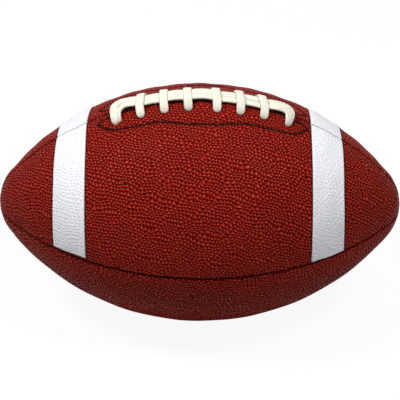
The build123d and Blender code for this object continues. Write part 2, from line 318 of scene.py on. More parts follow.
class NodeBench:
    """Adds nodes to one tree and wires them up."""

    def __init__(self, tree: bpy.types.NodeTree) -> None:
        """Keep the tree that the nodes go into."""
        self.tree = tree

    def add(
        self, kind: str, wires: dict[str | int, object] | None = None, **settings: object
    ) -> bpy.types.Node:
        """Add a node.

        Args:
            kind: The node's type.
            wires: What each input gets, by name or number: a value or another node's output.
            **settings: The node's own settings.

        Returns:
            The new node.
        """
        node = self.tree.nodes.new(kind)
        for key, value in settings.items():
            setattr(node, key, value)
        self.connect(node, wires or {})
        return node

    def connect(self, node: bpy.types.Node, wires: dict[str | int, object]) -> None:
        """Feed a node's inputs.

        Args:
            node: The node.
            wires: What each input gets, by name or number: a value or another node's output.
        """
        for key, value in wires.items():
            if isinstance(value, bpy.types.NodeSocket):
                self.tree.links.new(value, node.inputs[key])
            else:
                node.inputs[key].default_value = value

    def sum(self, operation: str, first: object, second: object = 0.0) -> bpy.types.NodeSocket:
        """Work out a number from two others, each a number or an output."""
        return self.add("ShaderNodeMath", {0: first, 1: second}, operation=operation).outputs[0]

    def blend(self, share: object, first: object, second: object) -> bpy.types.NodeSocket:
        """Blend two colours by a share of the second one."""
        return self.add("ShaderNodeMix", {0: share, 6: first, 7: second}, data_type="RGBA").outputs[2]

    def spread(
        self, value: object, low: object, high: object,
        span: tuple[object, object] = (0.0, 1.0), curve: str = "SMOOTHSTEP",
    ) -> bpy.types.NodeSocket:
        """Spread a value that runs over a span from its start to its end, over results from low to high."""
        wires = {"Value": value, "From Min": span[0], "From Max": span[1], "To Min": low, "To Max": high}
        return self.add("ShaderNodeMapRange", wires, interpolation_type=curve).outputs["Result"]

    def noise(self, place: object, scale: object, detail: float = 2.0) -> bpy.types.NodeSocket:
        """Add a noise pattern with a number of bumps per unit of its place, and with finer layers."""
        wires = {"Vector": place, "Scale": scale, "Detail": detail}
        return self.add("ShaderNodeTexNoise", wires).outputs["Fac"]

    def place(self) -> bpy.types.NodeSocket:
        """Give the output with the piece's own coordinates."""
        return self.add("ShaderNodeTexCoord").outputs["Object"]


def open_group(
    kind: str, name: str, inputs: dict[str, tuple[str, object]], outputs: dict[str, str]
) -> NodeBench:
    """Start a node group.

    Args:
        kind: The group's type.
        name: Its name.
        inputs: Each input's socket type and default value, or None, by name.
        outputs: Each output's socket type, by name.

    Returns:
        A bench for the new group.
    """
    tree = bpy.data.node_groups.new(name, kind)
    for label, (socket, default) in inputs.items():
        made = tree.interface.new_socket(label, in_out="INPUT", socket_type=f"NodeSocket{socket}")
        if default is not None:
            made.default_value = default
    for label, socket in outputs.items():
        tree.interface.new_socket(label, in_out="OUTPUT", socket_type=f"NodeSocket{socket}")
    return NodeBench(tree)


def finish_tree(bench: NodeBench, geometry: bpy.types.NodeSocket, material: bpy.types.NodeSocket) -> None:
    """End a Geometry Nodes tree with real faces in one material.

    Args:
        bench: The tree's bench.
        geometry: The output with the geometry.
        material: The output with the material.
    """
    smooth = bench.add("GeometryNodeSetShadeSmooth", {0: geometry})
    real = bench.add("GeometryNodeRealizeInstances", {0: smooth.outputs[0]})
    dressed = bench.add("GeometryNodeSetMaterial", {"Geometry": real.outputs[0], "Material": material})
    bench.add("NodeGroupOutput", {0: dressed.outputs[0]})


def run_tree(piece: bpy.types.Object, tree: bpy.types.NodeTree, values: dict[str, object]) -> None:
    """Run a Geometry Nodes tree on a piece and keep the result as a plain mesh.

    Args:
        piece: The piece.
        tree: The tree.
        values: What the tree's inputs get, by name.
    """
    modifier = piece.modifiers.new(tree.name, "NODES")
    modifier.node_group = tree
    for item in tree.interface.items_tree:
        if item.in_out == "INPUT" and item.name in values:
            modifier[item.identifier] = values[item.name]
    freeze(piece)


@dataclass(frozen=True)
class PebbleGrain:
    """The rounded pebbles that are pressed into the leather, in wavy staggered rows."""

    pitch: float = 0.00262
    slant: float = 14.0
    sway: float = 2.9
    sway_scale: float = 0.25
    row_share: float = 1.3
    slant_share: float = 0.95
    pit: float = -1.0
    # Rise up to which the pits get painted shade
    pit_shade_end: float = 0.15
    # Rise above which the pebbles' tops get a painted highlight and more gloss
    crown_highlight: float = 0.3
    dome: float = 0.6
    relief: float = 0.0002
    tint_scale: float = 0.9
    tint_span: Pair = (0.3, 0.7)
    pore_scale: float = 2600.0
    pore_share: float = 0.12

    def spots(self, bench: NodeBench, place: object) -> bpy.types.NodeSocket:
        """Count a place on the hide in pebbles, and let their rows sway.

        Args:
            bench: The tree's bench.
            place: The output with the place on the hide.

        Returns:
            The swayed place's output.
        """
        step = (1 / self.pitch,) * 3
        counted = bench.add("ShaderNodeVectorMath", {0: place, 1: step}, operation="MULTIPLY").outputs[0]
        drift = bench.add("ShaderNodeTexNoise", {"Vector": counted, "Scale": self.sway_scale, "Detail": 2.0})
        wires = {0: drift.outputs["Color"], 1: (self.sway, self.sway, 0.0), 2: counted}
        return bench.add("ShaderNodeVectorMath", wires, operation="MULTIPLY_ADD").outputs[0]

    def rise(self, bench: NodeBench, spot: object) -> bpy.types.NodeSocket:
        """Raise a pebble at each spot of the staggered rows, with one pit beside it.

        Args:
            bench: The tree's bench.
            spot: The output with the place, counted in pebbles.

        Returns:
            The rise's output, from about -1 in a pit to about 1 on top of a pebble.
        """
        root = math.sqrt(3.0)
        waves = (
            (0.0, 2.0, "SINE", self.row_share),
            (root, 1.0, "COSINE", self.slant_share),
            (root, -1.0, "COSINE", self.slant_share),
        )
        total = 0.0
        for along, across, curve, share in waves:
            wave = Vector((along, across, 0.0)) * (2 * math.pi / root)
            wave.rotate(Euler((0.0, 0.0, math.radians(self.slant))))
            phase = bench.add("ShaderNodeVectorMath", {0: spot, 1: wave}, operation="DOT_PRODUCT")
            swing = bench.sum(curve, phase.outputs["Value"])
            total = bench.sum("ADD", bench.sum("MULTIPLY", swing, share), total)
        return bench.sum("DIVIDE", total, 1.5 * root)

    def shader_group(self) -> bpy.types.NodeTree:
        """Build the shader group with the pebbles' domes, their tints, the masks for their painted shade and
        highlight, and the leather's pores.

        Returns:
            The group.
        """
        outputs = {"Pebble": "Float", "Crown": "Float", "Tint": "Float", "Height": "Float"}
        bench = open_group("ShaderNodeTree", "pebble_grain", {"Pores": ("Float", self.pore_share)}, outputs)
        given = bench.add("NodeGroupInput")
        place = bench.add("ShaderNodeAttribute", attribute_name=Mask.HIDE.value).outputs["Vector"]
        spot = self.spots(bench, place)
        rise = self.rise(bench, spot)
        # Pebble is 0 in the pits, which get painted shade, and 1 on the pebbles
        pebble = bench.spread(rise, 0.0, 1.0, (self.pit, self.pit_shade_end))
        # Crown marks the pebbles' tops, which get a painted highlight and more gloss
        crown_highlight = bench.spread(rise, 0.0, 1.0, (self.crown_highlight, 1.0))
        dome = bench.spread(rise, 0.0, 1.0, (self.pit, self.dome))
        tint = bench.spread(bench.noise(spot, self.tint_scale, 1.0), 0.0, 1.0, self.tint_span)
        pores = bench.noise(place, self.pore_scale, 3.0)
        height = bench.sum("ADD", dome, bench.sum("MULTIPLY", pores, given.outputs["Pores"]))
        bench.add("NodeGroupOutput", {"Pebble": pebble, "Crown": crown_highlight, "Tint": tint, "Height": height})
        return bench.tree

    def relief_tree(self) -> bpy.types.NodeTree:
        """Build the Geometry Nodes tree that raises the pebbles out of a surface.

        Returns:
            The tree.
        """
        inputs = {
            "Geometry": ("Geometry", None),
            "Relief": ("Float", self.relief),
            "Dome": ("Float", self.dome),
            "Leather": ("Material", None),
        }
        bench = open_group("GeometryNodeTree", "pebble_relief", inputs, {"Geometry": "Geometry"})
        given = bench.add("NodeGroupInput")
        read = "GeometryNodeInputNamedAttribute"
        place = bench.add(read, {"Name": Mask.HIDE.value}, data_type="FLOAT_VECTOR").outputs[0]
        rise = self.rise(bench, self.spots(bench, place))
        dome = bench.spread(rise, 0.0, given.outputs["Relief"], (self.pit, given.outputs["Dome"]))
        grain = bench.add(read, {"Name": Mask.GRAIN.value}).outputs[0]
        normal = bench.add("GeometryNodeInputNormal").outputs[0]
        wires = {0: normal, "Scale": bench.sum("MULTIPLY", dome, grain)}
        lift = bench.add("ShaderNodeVectorMath", wires, operation="SCALE").outputs[0]
        wires = {"Geometry": given.outputs["Geometry"], "Offset": lift}
        raised = bench.add("GeometryNodeSetPosition", wires).outputs[0]
        finish_tree(bench, raised, given.outputs["Leather"])
        return bench.tree


def stitch_tree() -> bpy.types.NodeTree:
    """Build the Geometry Nodes tree that lays separate stitches along a line.

    Returns:
        The tree.
    """
    inputs = {
        "Geometry": ("Geometry", None),
        "Pitch": ("Float", 0.002),
        "Length": ("Float", 0.002),
        "Width": ("Float", 0.001),
        "Height": ("Float", 0.0006),
        "Slant": ("Float", 0.0),
        "Unevenness": ("Float", 0.06),
        "Seed": ("Int", 7),
        "Thread": ("Material", None),
    }
    bench = open_group("GeometryNodeTree", "stitch_row", inputs, {"Geometry": "Geometry"})
    given = bench.add("NodeGroupInput").outputs
    curve = bench.add("GeometryNodeMeshToCurve", {0: given["Geometry"]}).outputs[0]
    wires = {"Curve": curve, "Length": given["Pitch"]}
    points = bench.add("GeometryNodeResampleCurve", wires, mode="LENGTH").outputs[0]
    wires = {"Name": Mask.NORMAL.value}
    normal = bench.add("GeometryNodeInputNamedAttribute", wires, data_type="FLOAT_VECTOR").outputs[0]
    tangent = bench.add("GeometryNodeInputTangent").outputs[0]
    upright = bench.add("FunctionNodeAlignRotationToVector", {"Vector": normal}, axis="Z").outputs[0]
    wires = {"Rotation": upright, "Vector": tangent}
    along = bench.add("FunctionNodeAlignRotationToVector", wires, axis="X", pivot_axis="Z").outputs[0]
    least = bench.sum("MULTIPLY", given["Unevenness"], -1.0)
    wires = {2: least, 3: given["Unevenness"], "Seed": given["Seed"]}
    stray = bench.add("FunctionNodeRandomValue", wires).outputs[1]
    angle = bench.sum("ADD", given["Slant"], stray)
    yaw = bench.add("FunctionNodeAxisAngleToRotation", {"Angle": angle}).outputs[0]
    wires = {"Rotation": along, "Rotate By": yaw}
    turned = bench.add("FunctionNodeRotateRotation", wires, rotation_space="LOCAL").outputs[0]
    bead = bench.add("GeometryNodeMeshUVSphere", {"Segments": 8, "Rings": 6, "Radius": 0.5}).outputs[0]
    wires = {0: given["Length"], 1: given["Width"], 2: given["Height"]}
    size = bench.add("ShaderNodeCombineXYZ", wires).outputs[0]
    stitch = bench.add("GeometryNodeTransform", {"Geometry": bead, "Scale": size}).outputs[0]
    wires = {"Points": points, "Instance": stitch, "Rotation": turned}
    row = bench.add("GeometryNodeInstanceOnPoints", wires).outputs[0]
    finish_tree(bench, row, given["Thread"])
    return bench.tree


def mottle_group() -> bpy.types.NodeTree:
    """Build the shader group for soft patches of tone and fine roughness that most finishes share.

    Returns:
        The group.
    """
    inputs = {"Patch Scale": ("Float", 60.0), "Speck Scale": ("Float", 1500.0)}
    bench = open_group("ShaderNodeTree", "soft_mottle", inputs, {"Patches": "Float", "Specks": "Float"})
    given = bench.add("NodeGroupInput").outputs
    place = bench.place()
    patches = bench.noise(place, given["Patch Scale"], 3.0)
    specks = bench.noise(place, given["Speck Scale"], 2.0)
    bench.add("NodeGroupOutput", {"Patches": patches, "Specks": specks})
    return bench.tree


def weave_group() -> bpy.types.NodeTree:
    """Build the shader group for plain-woven cloth.

    Returns:
        The group.
    """
    bench = open_group("ShaderNodeTree", "plain_weave", {"Threads": ("Float", 900.0)}, {"Weave": "Float"})
    given = bench.add("NodeGroupInput").outputs
    place = bench.place()
    waves = []
    for direction in ("X", "Y"):
        wires = {"Vector": place, "Scale": given["Threads"], "Distortion": 0.4}
        waves.append(bench.add("ShaderNodeTexWave", wires, bands_direction=direction).outputs["Fac"])
    bench.add("NodeGroupOutput", {"Weave": bench.sum("MULTIPLY", *waves)})
    return bench.tree


class Finish(NodeBench):
    """A material in the making: a bench for its tree, with its shader and the groups that finishes share."""

    def __init__(self, name: str, groups: Groups) -> None:
        """Start the material with one shader.

        Args:
            name: The material's name.
            groups: The shared shader groups, by name.
        """
        self.material = bpy.data.materials.new(name)
        self.material.use_nodes = True
        super().__init__(self.material.node_tree)
        self.groups = groups
        self.shader = self.tree.nodes["Principled BSDF"]

    def group(self, name: str, **values: float) -> bpy.types.NodeOutputs:
        """Place a shared group, whose inputs are named with underscores for spaces."""
        wires = {key.replace("_", " ").title(): value for key, value in values.items()}
        return self.add("ShaderNodeGroup", wires, node_tree=self.groups[name]).outputs

    def feed(self, **wires: object) -> None:
        """Feed the shader's sockets, named with underscores for spaces."""
        self.connect(self.shader, {key.replace("_", " "): value for key, value in wires.items()})

    def bump(self, height: object, strength: float, distance: float) -> None:
        """Bump the surface with an output's heights, at a strength and with a full height."""
        wires = {"Height": height, "Strength": strength, "Distance": distance}
        self.feed(Normal=self.add("ShaderNodeBump", wires).outputs["Normal"])

    def mask(self, mask: Mask) -> bpy.types.NodeSocket:
        """Read one of the piece's own point values."""
        return self.add("ShaderNodeAttribute", attribute_name=mask.value).outputs["Fac"]


@dataclass(frozen=True)
class Recipe(ABC):
    """What every finish has: the name of its material slot, and a way to wire its material up."""

    name: str

    def material(self, groups: Groups) -> bpy.types.Material:
        """Make the material.

        Args:
            groups: The shader groups that finishes share.

        Returns:
            The new material.
        """
        finish = Finish(self.name, groups)
        self.wire(finish)
        return finish.material

    @abstractmethod
    def wire(self, finish: Finish) -> None:
        """Wire this kind of finish up in its material."""


@dataclass(frozen=True)
class PebbledLeather(Recipe):
    """Leather with pressed pebbles, with a painted highlight on their crowns and painted shade in the pits
    and creases.
    """

    # The crown colour is a painted highlight; the deep colour is painted shade in the pits and the dark end
    # of the random tint; the crease colour is painted shade
    crown_highlight: Colour
    top: Colour
    deep: Colour
    patch: Colour
    crease: Colour
    gloss: float
    dull: float
    bump: float
    specular: float
    bump_height: float = 0.0009
    patch_scale: float = 38.0
    patch_span: Pair = (0.35, 0.7)
    patch_share: float = 0.55
    speck_scale: float = 900.0
    speck_roughness: Pair = (-0.05, 0.07)
    tint_share: float = 0.22
    # Share of the painted crease shade
    crease_share: float = 0.85
    crease_roughness: float = 0.15

    def wire(self, finish: Finish) -> None:
        """Wire the pebbles' tones, their painted highlight and shade, and their shine up.

        Args:
            finish: The material in the making.
        """
        grain = finish.group("pebble_grain")
        mottle = finish.group("soft_mottle", patch_scale=self.patch_scale, speck_scale=self.speck_scale)
        crease = finish.mask(Mask.CREASE)
        patches = finish.spread(mottle["Patches"], 0.0, self.patch_share, span=self.patch_span)
        top = finish.blend(patches, self.top, self.patch)
        tint = finish.spread(grain["Tint"], 0.0, self.tint_share, curve="LINEAR")
        # Painted shade: the pits take the deep colour; the random tint also blends towards it
        pebbles = finish.blend(grain["Pebble"], self.deep, finish.blend(tint, top, self.deep))
        # Painted highlight: the pebbles' tops take the paler crown colour
        leather = finish.blend(grain["Crown"], pebbles, self.crown_highlight)
        # Painted shade in the creases
        colour = finish.blend(finish.sum("MULTIPLY", crease, self.crease_share), leather, self.crease)
        shine = finish.spread(grain["Crown"], self.dull, self.gloss)
        rough = finish.sum("ADD", shine, finish.spread(mottle["Specks"], *self.speck_roughness))
        rough = finish.sum("ADD", rough, finish.sum("MULTIPLY", crease, self.crease_roughness))
        finish.feed(Base_Color=colour, Roughness=rough, Specular_IOR_Level=self.specular)
        finish.bump(grain["Height"], self.bump, self.bump_height)


@dataclass(frozen=True)
class SmoothLeather(Recipe):
    """Leather with a fine nap, soft patches of tone and painted shade in its creases."""

    pale: Colour
    dark: Colour
    roughness: float
    nap_scale: float
    nap_roughness: Pair = (-0.08, 0.1)
    nap_bump: float = 0.35
    nap_height: float = 0.0002
    patch_scale: float = 160.0
    patch_span: Pair = (0.4, 0.75)
    patch_share: float = 0.22
    specular: float = 0.25

    def wire(self, finish: Finish) -> None:
        """Wire the patches, the painted crease shade and the nap up.

        Args:
            finish: The material in the making.
        """
        mottle = finish.group("soft_mottle", patch_scale=self.patch_scale, speck_scale=self.nap_scale)
        crease = finish.mask(Mask.CREASE)
        patches = finish.spread(mottle["Patches"], 0.0, self.patch_share, span=self.patch_span)
        # The dark colour is a random patch tone, and also painted shade in the creases
        share = finish.sum("MINIMUM", finish.sum("ADD", patches, crease), 1.0)
        rough = finish.sum("ADD", finish.spread(mottle["Specks"], *self.nap_roughness), self.roughness)
        colour = finish.blend(share, self.pale, self.dark)
        finish.feed(Base_Color=colour, Roughness=rough, Specular_IOR_Level=self.specular)
        finish.bump(mottle["Specks"], self.nap_bump, self.nap_height)


@dataclass(frozen=True)
class TwistedThread(Recipe):
    """Waxed thread with its strands twisted together."""

    colour: Colour
    light: Colour
    roughness: Pair = (0.45, 0.7)
    specular: float = 0.08
    twist_scale: float = 1500.0
    twist_sway: float = 1.0
    twist_bump: float = 0.5
    twist_height: float = 0.0001
    patch_scale: float = 300.0
    speck_scale: float = 4000.0

    def wire(self, finish: Finish) -> None:
        """Wire the twist up.

        Args:
            finish: The material in the making.
        """
        mottle = finish.group("soft_mottle", patch_scale=self.patch_scale, speck_scale=self.speck_scale)
        wires = {"Vector": finish.place(), "Scale": self.twist_scale, "Distortion": self.twist_sway}
        twist = finish.add("ShaderNodeTexWave", wires, bands_direction="DIAGONAL").outputs["Fac"]
        share = finish.sum("MULTIPLY", twist, mottle["Patches"])
        rough = finish.spread(mottle["Specks"], *self.roughness)
        colour = finish.blend(share, self.colour, self.light)
        finish.feed(Base_Color=colour, Roughness=rough, Specular_IOR_Level=self.specular)
        finish.bump(twist, self.twist_bump, self.twist_height)


@dataclass(frozen=True)
class WovenCloth(Recipe):
    """Plain-woven cloth with slight unevenness between its threads."""

    light: Colour
    dark: Colour
    threads: float
    roughness: Pair = (0.75, 0.92)
    sheen: float = 0.2
    weave_span: Pair = (0.0, 0.6)
    weave_bump: float = 0.4
    weave_height: float = 0.0002
    patch_scale: float = 90.0
    speck_scale: float = 2000.0

    def wire(self, finish: Finish) -> None:
        """Wire the weave up.

        Args:
            finish: The material in the making.
        """
        weave = finish.group("plain_weave", threads=self.threads)["Weave"]
        mottle = finish.group("soft_mottle", patch_scale=self.patch_scale, speck_scale=self.speck_scale)
        uneven = finish.sum("MULTIPLY", weave, mottle["Patches"])
        share = finish.spread(uneven, 0.0, 1.0, span=self.weave_span)
        rough = finish.spread(mottle["Specks"], *self.roughness)
        colour = finish.blend(share, self.dark, self.light)
        finish.feed(Base_Color=colour, Roughness=rough, Sheen_Weight=self.sheen)
        finish.bump(weave, self.weave_bump, self.weave_height)


@dataclass(frozen=True)
class MouldedRubber(Recipe):
    """Rubber with a faint bloom."""

    colour: Colour
    bloom: Colour
    roughness: float
    bloom_span: Pair = (0.45, 0.75)
    bloom_share: float = 0.5
    patch_scale: float = 140.0
    speck_scale: float = 1800.0
    speck_roughness: Pair = (-0.06, 0.08)
    speck_bump: float = 0.15
    speck_height: float = 0.0001

    def wire(self, finish: Finish) -> None:
        """Wire the bloom up.

        Args:
            finish: The material in the making.
        """
        mottle = finish.group("soft_mottle", patch_scale=self.patch_scale, speck_scale=self.speck_scale)
        bloom = finish.spread(mottle["Patches"], 0.0, self.bloom_share, span=self.bloom_span)
        rough = finish.sum("ADD", finish.spread(mottle["Specks"], *self.speck_roughness), self.roughness)
        finish.feed(Base_Color=finish.blend(bloom, self.colour, self.bloom), Roughness=rough)
        finish.bump(mottle["Specks"], self.speck_bump, self.speck_height)


FINISHES = (
    PebbledLeather(
        "panel_leather",
        # Painted highlight on the crowns, painted shade in the pits and in the creases
        crown_highlight=screen_colour(178, 68, 53), top=screen_colour(143, 23, 11), deep=screen_colour(72, 2, 1),
        patch=screen_colour(130, 17, 8), crease=screen_colour(28, 4, 4),
        gloss=0.2, dull=0.55, bump=1.0, specular=0.045,
    ),
    PebbledLeather(
        "stripe_leather",
        # Painted highlight on the crowns, painted shade in the pits and in the creases
        crown_highlight=screen_colour(244, 244, 247), top=screen_colour(240, 240, 244),
        deep=screen_colour(220, 220, 228), patch=screen_colour(234, 235, 240),
        crease=screen_colour(112, 108, 112),
        gloss=0.45, dull=0.6, bump=0.2, specular=0.2,
    ),
    # The lace's dark colour is a random patch tone and also painted shade where the lace pinches into its
    # holes
    SmoothLeather("lace_leather", screen_colour(228, 226, 211), screen_colour(182, 177, 156), 0.5, 1500.0),
    SmoothLeather("facing_leather", screen_colour(122, 80, 56), screen_colour(82, 50, 34), 0.8, 2400.0),
    TwistedThread("dark_thread", screen_colour(14, 7, 7), screen_colour(32, 18, 17)),
    TwistedThread("seam_thread", screen_colour(196, 184, 158), screen_colour(226, 216, 194)),
    WovenCloth("lining_cloth", screen_colour(216, 208, 190), screen_colour(150, 142, 126), 1100.0),
    WovenCloth("tongue_cloth", screen_colour(124, 110, 94), screen_colour(80, 70, 60), 800.0),
    MouldedRubber("bladder_rubber", screen_colour(40, 38, 38), screen_colour(64, 62, 60), 0.55),
    MouldedRubber("valve_rubber", screen_colour(22, 22, 23), screen_colour(46, 45, 44), 0.5),
)


@dataclass(frozen=True)
class BallForm:
    """The ball's outline: one belly arc that runs tangent into a nose arc at each end."""

    half_length: float = 0.1425
    radius: float = 0.08465
    nose_radius: float = 0.034
    seam_sag: float = 1.2
    left_sag: float = 0.3

    @property
    def nose_centre(self) -> float:
        """Place of the nose arcs' centres along the long axis."""
        return self.half_length - self.nose_radius

    @property
    def belly_radius(self) -> float:
        """Radius of the belly arc."""
        grown = self.nose_centre**2 + self.radius**2 - self.nose_radius**2
        return grown / (2 * (self.radius - self.nose_radius))

    @property
    def belly_drop(self) -> float:
        """How far the belly arc's centre lies past the long axis."""
        return self.belly_radius - self.radius

    @property
    def belly_turn(self) -> float:
        """Half of the belly arc's angle, in radians."""
        return math.atan2(self.nose_centre, self.belly_drop)

    @property
    def belly_arc(self) -> float:
        """Half of the belly arc's length."""
        return self.belly_radius * self.belly_turn

    @property
    def half_arc(self) -> float:
        """Length along the skin from the belly's middle to the tip of a nose."""
        return self.belly_arc + self.nose_radius * (math.pi / 2 - self.belly_turn)

    def arc_at(self, along: float) -> float:
        """Length along the skin, from its middle, of a place on the belly."""
        return self.belly_radius * math.asin(along / self.belly_radius)

    def outline(self, arc: Array) -> tuple[Array, Array, Array]:
        """Follow the outline.

        Args:
            arc: Lengths along the skin from the belly's middle, negative to the left.

        Returns:
            The places along the long axis, the distances from it, and the angles by which the outward
            direction leans from straight out towards the right end, in radians.
        """
        on_belly = np.abs(arc) <= self.belly_arc
        past = (np.abs(arc) - self.belly_arc) / self.nose_radius
        lean = np.where(on_belly, np.abs(arc) / self.belly_radius, self.belly_turn + past)
        radius = np.where(on_belly, self.belly_radius, self.nose_radius)
        along = radius * np.sin(lean) + np.where(on_belly, 0.0, self.nose_centre)
        out = radius * np.cos(lean) - np.where(on_belly, self.belly_drop, 0.0)
        return np.sign(arc) * along, np.maximum(out, 0), np.sign(arc) * lean

    def settled(self, arc: Array, turn: Array) -> Array:
        """Turn places on the panels so that the front seam hangs a little low, least at the left end."""
        sag = np.interp(arc, (-self.half_length, 0.0), (self.left_sag, self.seam_sag))
        return turn + sag * np.clip(np.sin(np.radians(turn)), 0, 1) ** 2

    def place(self, arc: Array, turn: Array, height: Array | float) -> Array:
        """Find points above the skin.

        Args:
            arc: Lengths along the skin from the belly's middle.
            turn: Turns about the long axis from the top towards the front.
            height: Heights above the skin.

        Returns:
            The points, with X, Y and Z in the last axis.
        """
        along, out, lean = self.outline(arc)
        reach = out + np.cos(lean) * height
        angle = np.radians(self.settled(arc, turn))
        rows = np.broadcast_arrays(
            along + np.sin(lean) * height, -reach * np.sin(angle), self.radius + reach * np.cos(angle)
        )
        return np.stack(rows, axis=-1)

    def hide(self, arc: Array, turn: Array, quarter: int) -> Array:
        """Lay places on the skin out flat, as on the hide that a panel is cut from.

        Args:
            arc: Lengths along the skin from the ball's middle.
            turn: Turns about the long axis.
            quarter: Number of the panel.

        Returns:
            A row for each place: along the panel, across it, and a level of the panel's own.
        """
        out = self.outline(arc)[1]
        across = np.radians(turn - (quarter + 0.5) * QUARTER) * out
        return np.stack([arc, across, np.full_like(arc, float(quarter))], axis=-1)

    def outward(self, arc: Array, turn: Array) -> Array:
        """Find the directions straight out of the skin.

        Args:
            arc: Lengths along the skin from the belly's middle.
            turn: Turns about the long axis from the top towards the front.

        Returns:
            The directions, with X, Y and Z in the last axis.
        """
        lean = self.outline(arc)[2]
        angle = np.radians(self.settled(arc, turn))
        rows = np.broadcast_arrays(np.sin(lean), -np.cos(lean) * np.sin(angle), np.cos(lean) * np.cos(angle))
        return np.stack(rows, axis=-1)


# Share of the stitching's reach that is used on each side of the seam
FACING_SHARES = {Side.FRONT: 1.0, Side.REAR: 1.25}


@dataclass(frozen=True)
class Lacing:
    """The raised welt along the top seam, the lace's route over it and the stitching round it."""

    form: BallForm
    offset: float = 0.0023
    welt_rise: float = 0.0025
    welt_round: float = 0.048
    welt_blend: float = 0.0011
    passes: int = 8
    pitch: float = 0.016
    middle_gap: float = 0.019
    hole_offset: float = 0.0132
    end_run: float = 0.005
    hole_shares: tuple[float, ...] = (0.88, 0.91, 0.88, 0.84, 0.9, 0.88, 0.85, 0.87)
    shifts: tuple[float, ...] = (-0.0028, -0.0006, -0.0007, -0.0008, -0.0008, -0.0011, -0.0012, 0.002)
    slants: tuple[float, ...] = (-0.0004, -0.0003, 0.0003, 0.0006, 0.0009, 0.0011, 0.0016, 0.0)
    stitch_end_margin: float = 0.0085
    stitch_side_margin: float = 0.010
    stitch_shares: tuple[Pair, ...] = (
        (1.0, 0.35), (0.935, 0.60), (0.875, 0.73), (0.76, 0.81),
        (0.60, 0.84), (0.42, 0.835), (0.29, 0.91), (0.17, 0.98),
    )
    return_shares: tuple[Pair, ...] = ((1.0, 0.35), (0.982, 0.275), (0.935, 0.22), (0.86, 0.21))
    stitch_steps: int = 14

    @property
    def places(self) -> list[float]:
        """Places of the passes along the welt's crest, from left to right."""
        half = [self.middle_gap / 2 + step * self.pitch for step in range(self.passes // 2)]
        return [-place for place in reversed(half)] + half

    def hole(self, number: int, side: Side) -> tuple[float, float]:
        """Find a pass's hole: its place along the crest and how far it lies to the front of the seam."""
        along = self.places[number] + self.shifts[number] - side.sign * self.slants[number]
        return along, -side.sign * self.hole_offset * self.hole_shares[number]

    @property
    def strand_end(self) -> float:
        """Place along the crest at which the strands turn down."""
        return self.places[-1] + self.end_run

    @property
    def half_length(self) -> float:
        """Half of the welt's length, to the tips of the stitching."""
        return self.strand_end + self.stitch_end_margin

    @property
    def reach(self) -> float:
        """How far the stitching goes out to each side."""
        return self.hole_offset + self.stitch_side_margin

    @property
    def tilt(self) -> float:
        """Turn about the belly arc's centre that brings the lacing off the middle, in radians."""
        return self.offset / self.form.belly_radius

    @property
    def crest_radius(self) -> float:
        """Find the arc along the welt's crest.

        Returns:
            Its radius.
        """
        end_height = math.sqrt(self.form.belly_radius**2 - self.half_length**2) - self.form.belly_drop
        fall = self.form.radius + self.welt_rise - end_height
        return (self.half_length**2 + fall**2) / (2 * fall)

    @property
    def crest_drop(self) -> float:
        """How far the crest arc's centre lies below the long axis."""
        return self.crest_radius - self.form.radius - self.welt_rise

    def welt(self, points: Array) -> Array:
        """Find how far the welt stands above the round skin.

        Args:
            points: Points on the skin, with X, Y and Z in the last axis.

        Returns:
            The welt's height at each point.
        """
        form = self.form
        along, across = points[..., 0], points[..., 1]
        above = points[..., 2] - form.radius + form.belly_drop
        level_along = along * math.cos(self.tilt) - above * math.sin(self.tilt)
        level = along * math.sin(self.tilt) + above * math.cos(self.tilt) - form.belly_drop
        axis = form.radius + self.welt_rise - self.welt_round
        crest = np.sqrt(np.maximum(self.crest_radius**2 - level_along**2, 0)) - self.crest_drop
        spread = np.maximum(crest - axis, 0)
        top = axis + np.sqrt(np.maximum(spread**2 - across**2, 0))
        proud = np.where((level > axis) & (np.abs(across) < spread), top - level, -1.0)
        raised = (proud + np.sqrt(proud**2 + self.welt_blend**2)) / 2
        return np.where(proud > -self.welt_round, raised, 0.0)

    def place(self, along: Array, across: Array, above: Array) -> Array:
        """Find points near the welt.

        Args:
            along: Places along the crest.
            across: Distances from the seam, positive to the front.
            above: Heights above the crest.

        Returns:
            The points, one row each.
        """
        angle = along / self.crest_radius
        level_along = (self.crest_radius + above) * np.sin(angle)
        level = (self.crest_radius + above) * np.cos(angle) - self.crest_drop + self.form.belly_drop
        x = level_along * math.cos(self.tilt) + level * math.sin(self.tilt)
        z = level * math.cos(self.tilt) - level_along * math.sin(self.tilt)
        z = z - self.form.belly_drop + self.form.radius
        return np.stack(np.broadcast_arrays(x, -across, z), axis=-1)

    def along(self, place: Array) -> Array:
        """Find the directions along the crest at places on it, one row each."""
        angle = place / self.crest_radius + self.tilt
        return np.stack([np.cos(angle), np.zeros_like(angle), -np.sin(angle)], axis=-1)

    def stitch_lines(self, side: Side) -> list[Array]:
        """Draw the facing's stitching in plan: the long line, and a short return from each of its tips.

        Args:
            side: Side of the seam.

        Returns:
            For each line, its points in X and Y, one row each.
        """
        reach = self.reach * FACING_SHARES[side]
        outer = np.array(self.stitch_shares) * (self.half_length, reach)
        inner = np.array(self.return_shares) * (self.half_length, reach)
        flipped = np.array([-1.0, 1.0])
        routes = [np.vstack([outer * flipped, [(0.0, reach)], outer[::-1]]), inner, inner * flipped]
        lines = [through_points(route, self.stitch_steps) for route in routes]
        return [line * (1, side.sign) + (self.offset, 0) for line in lines]


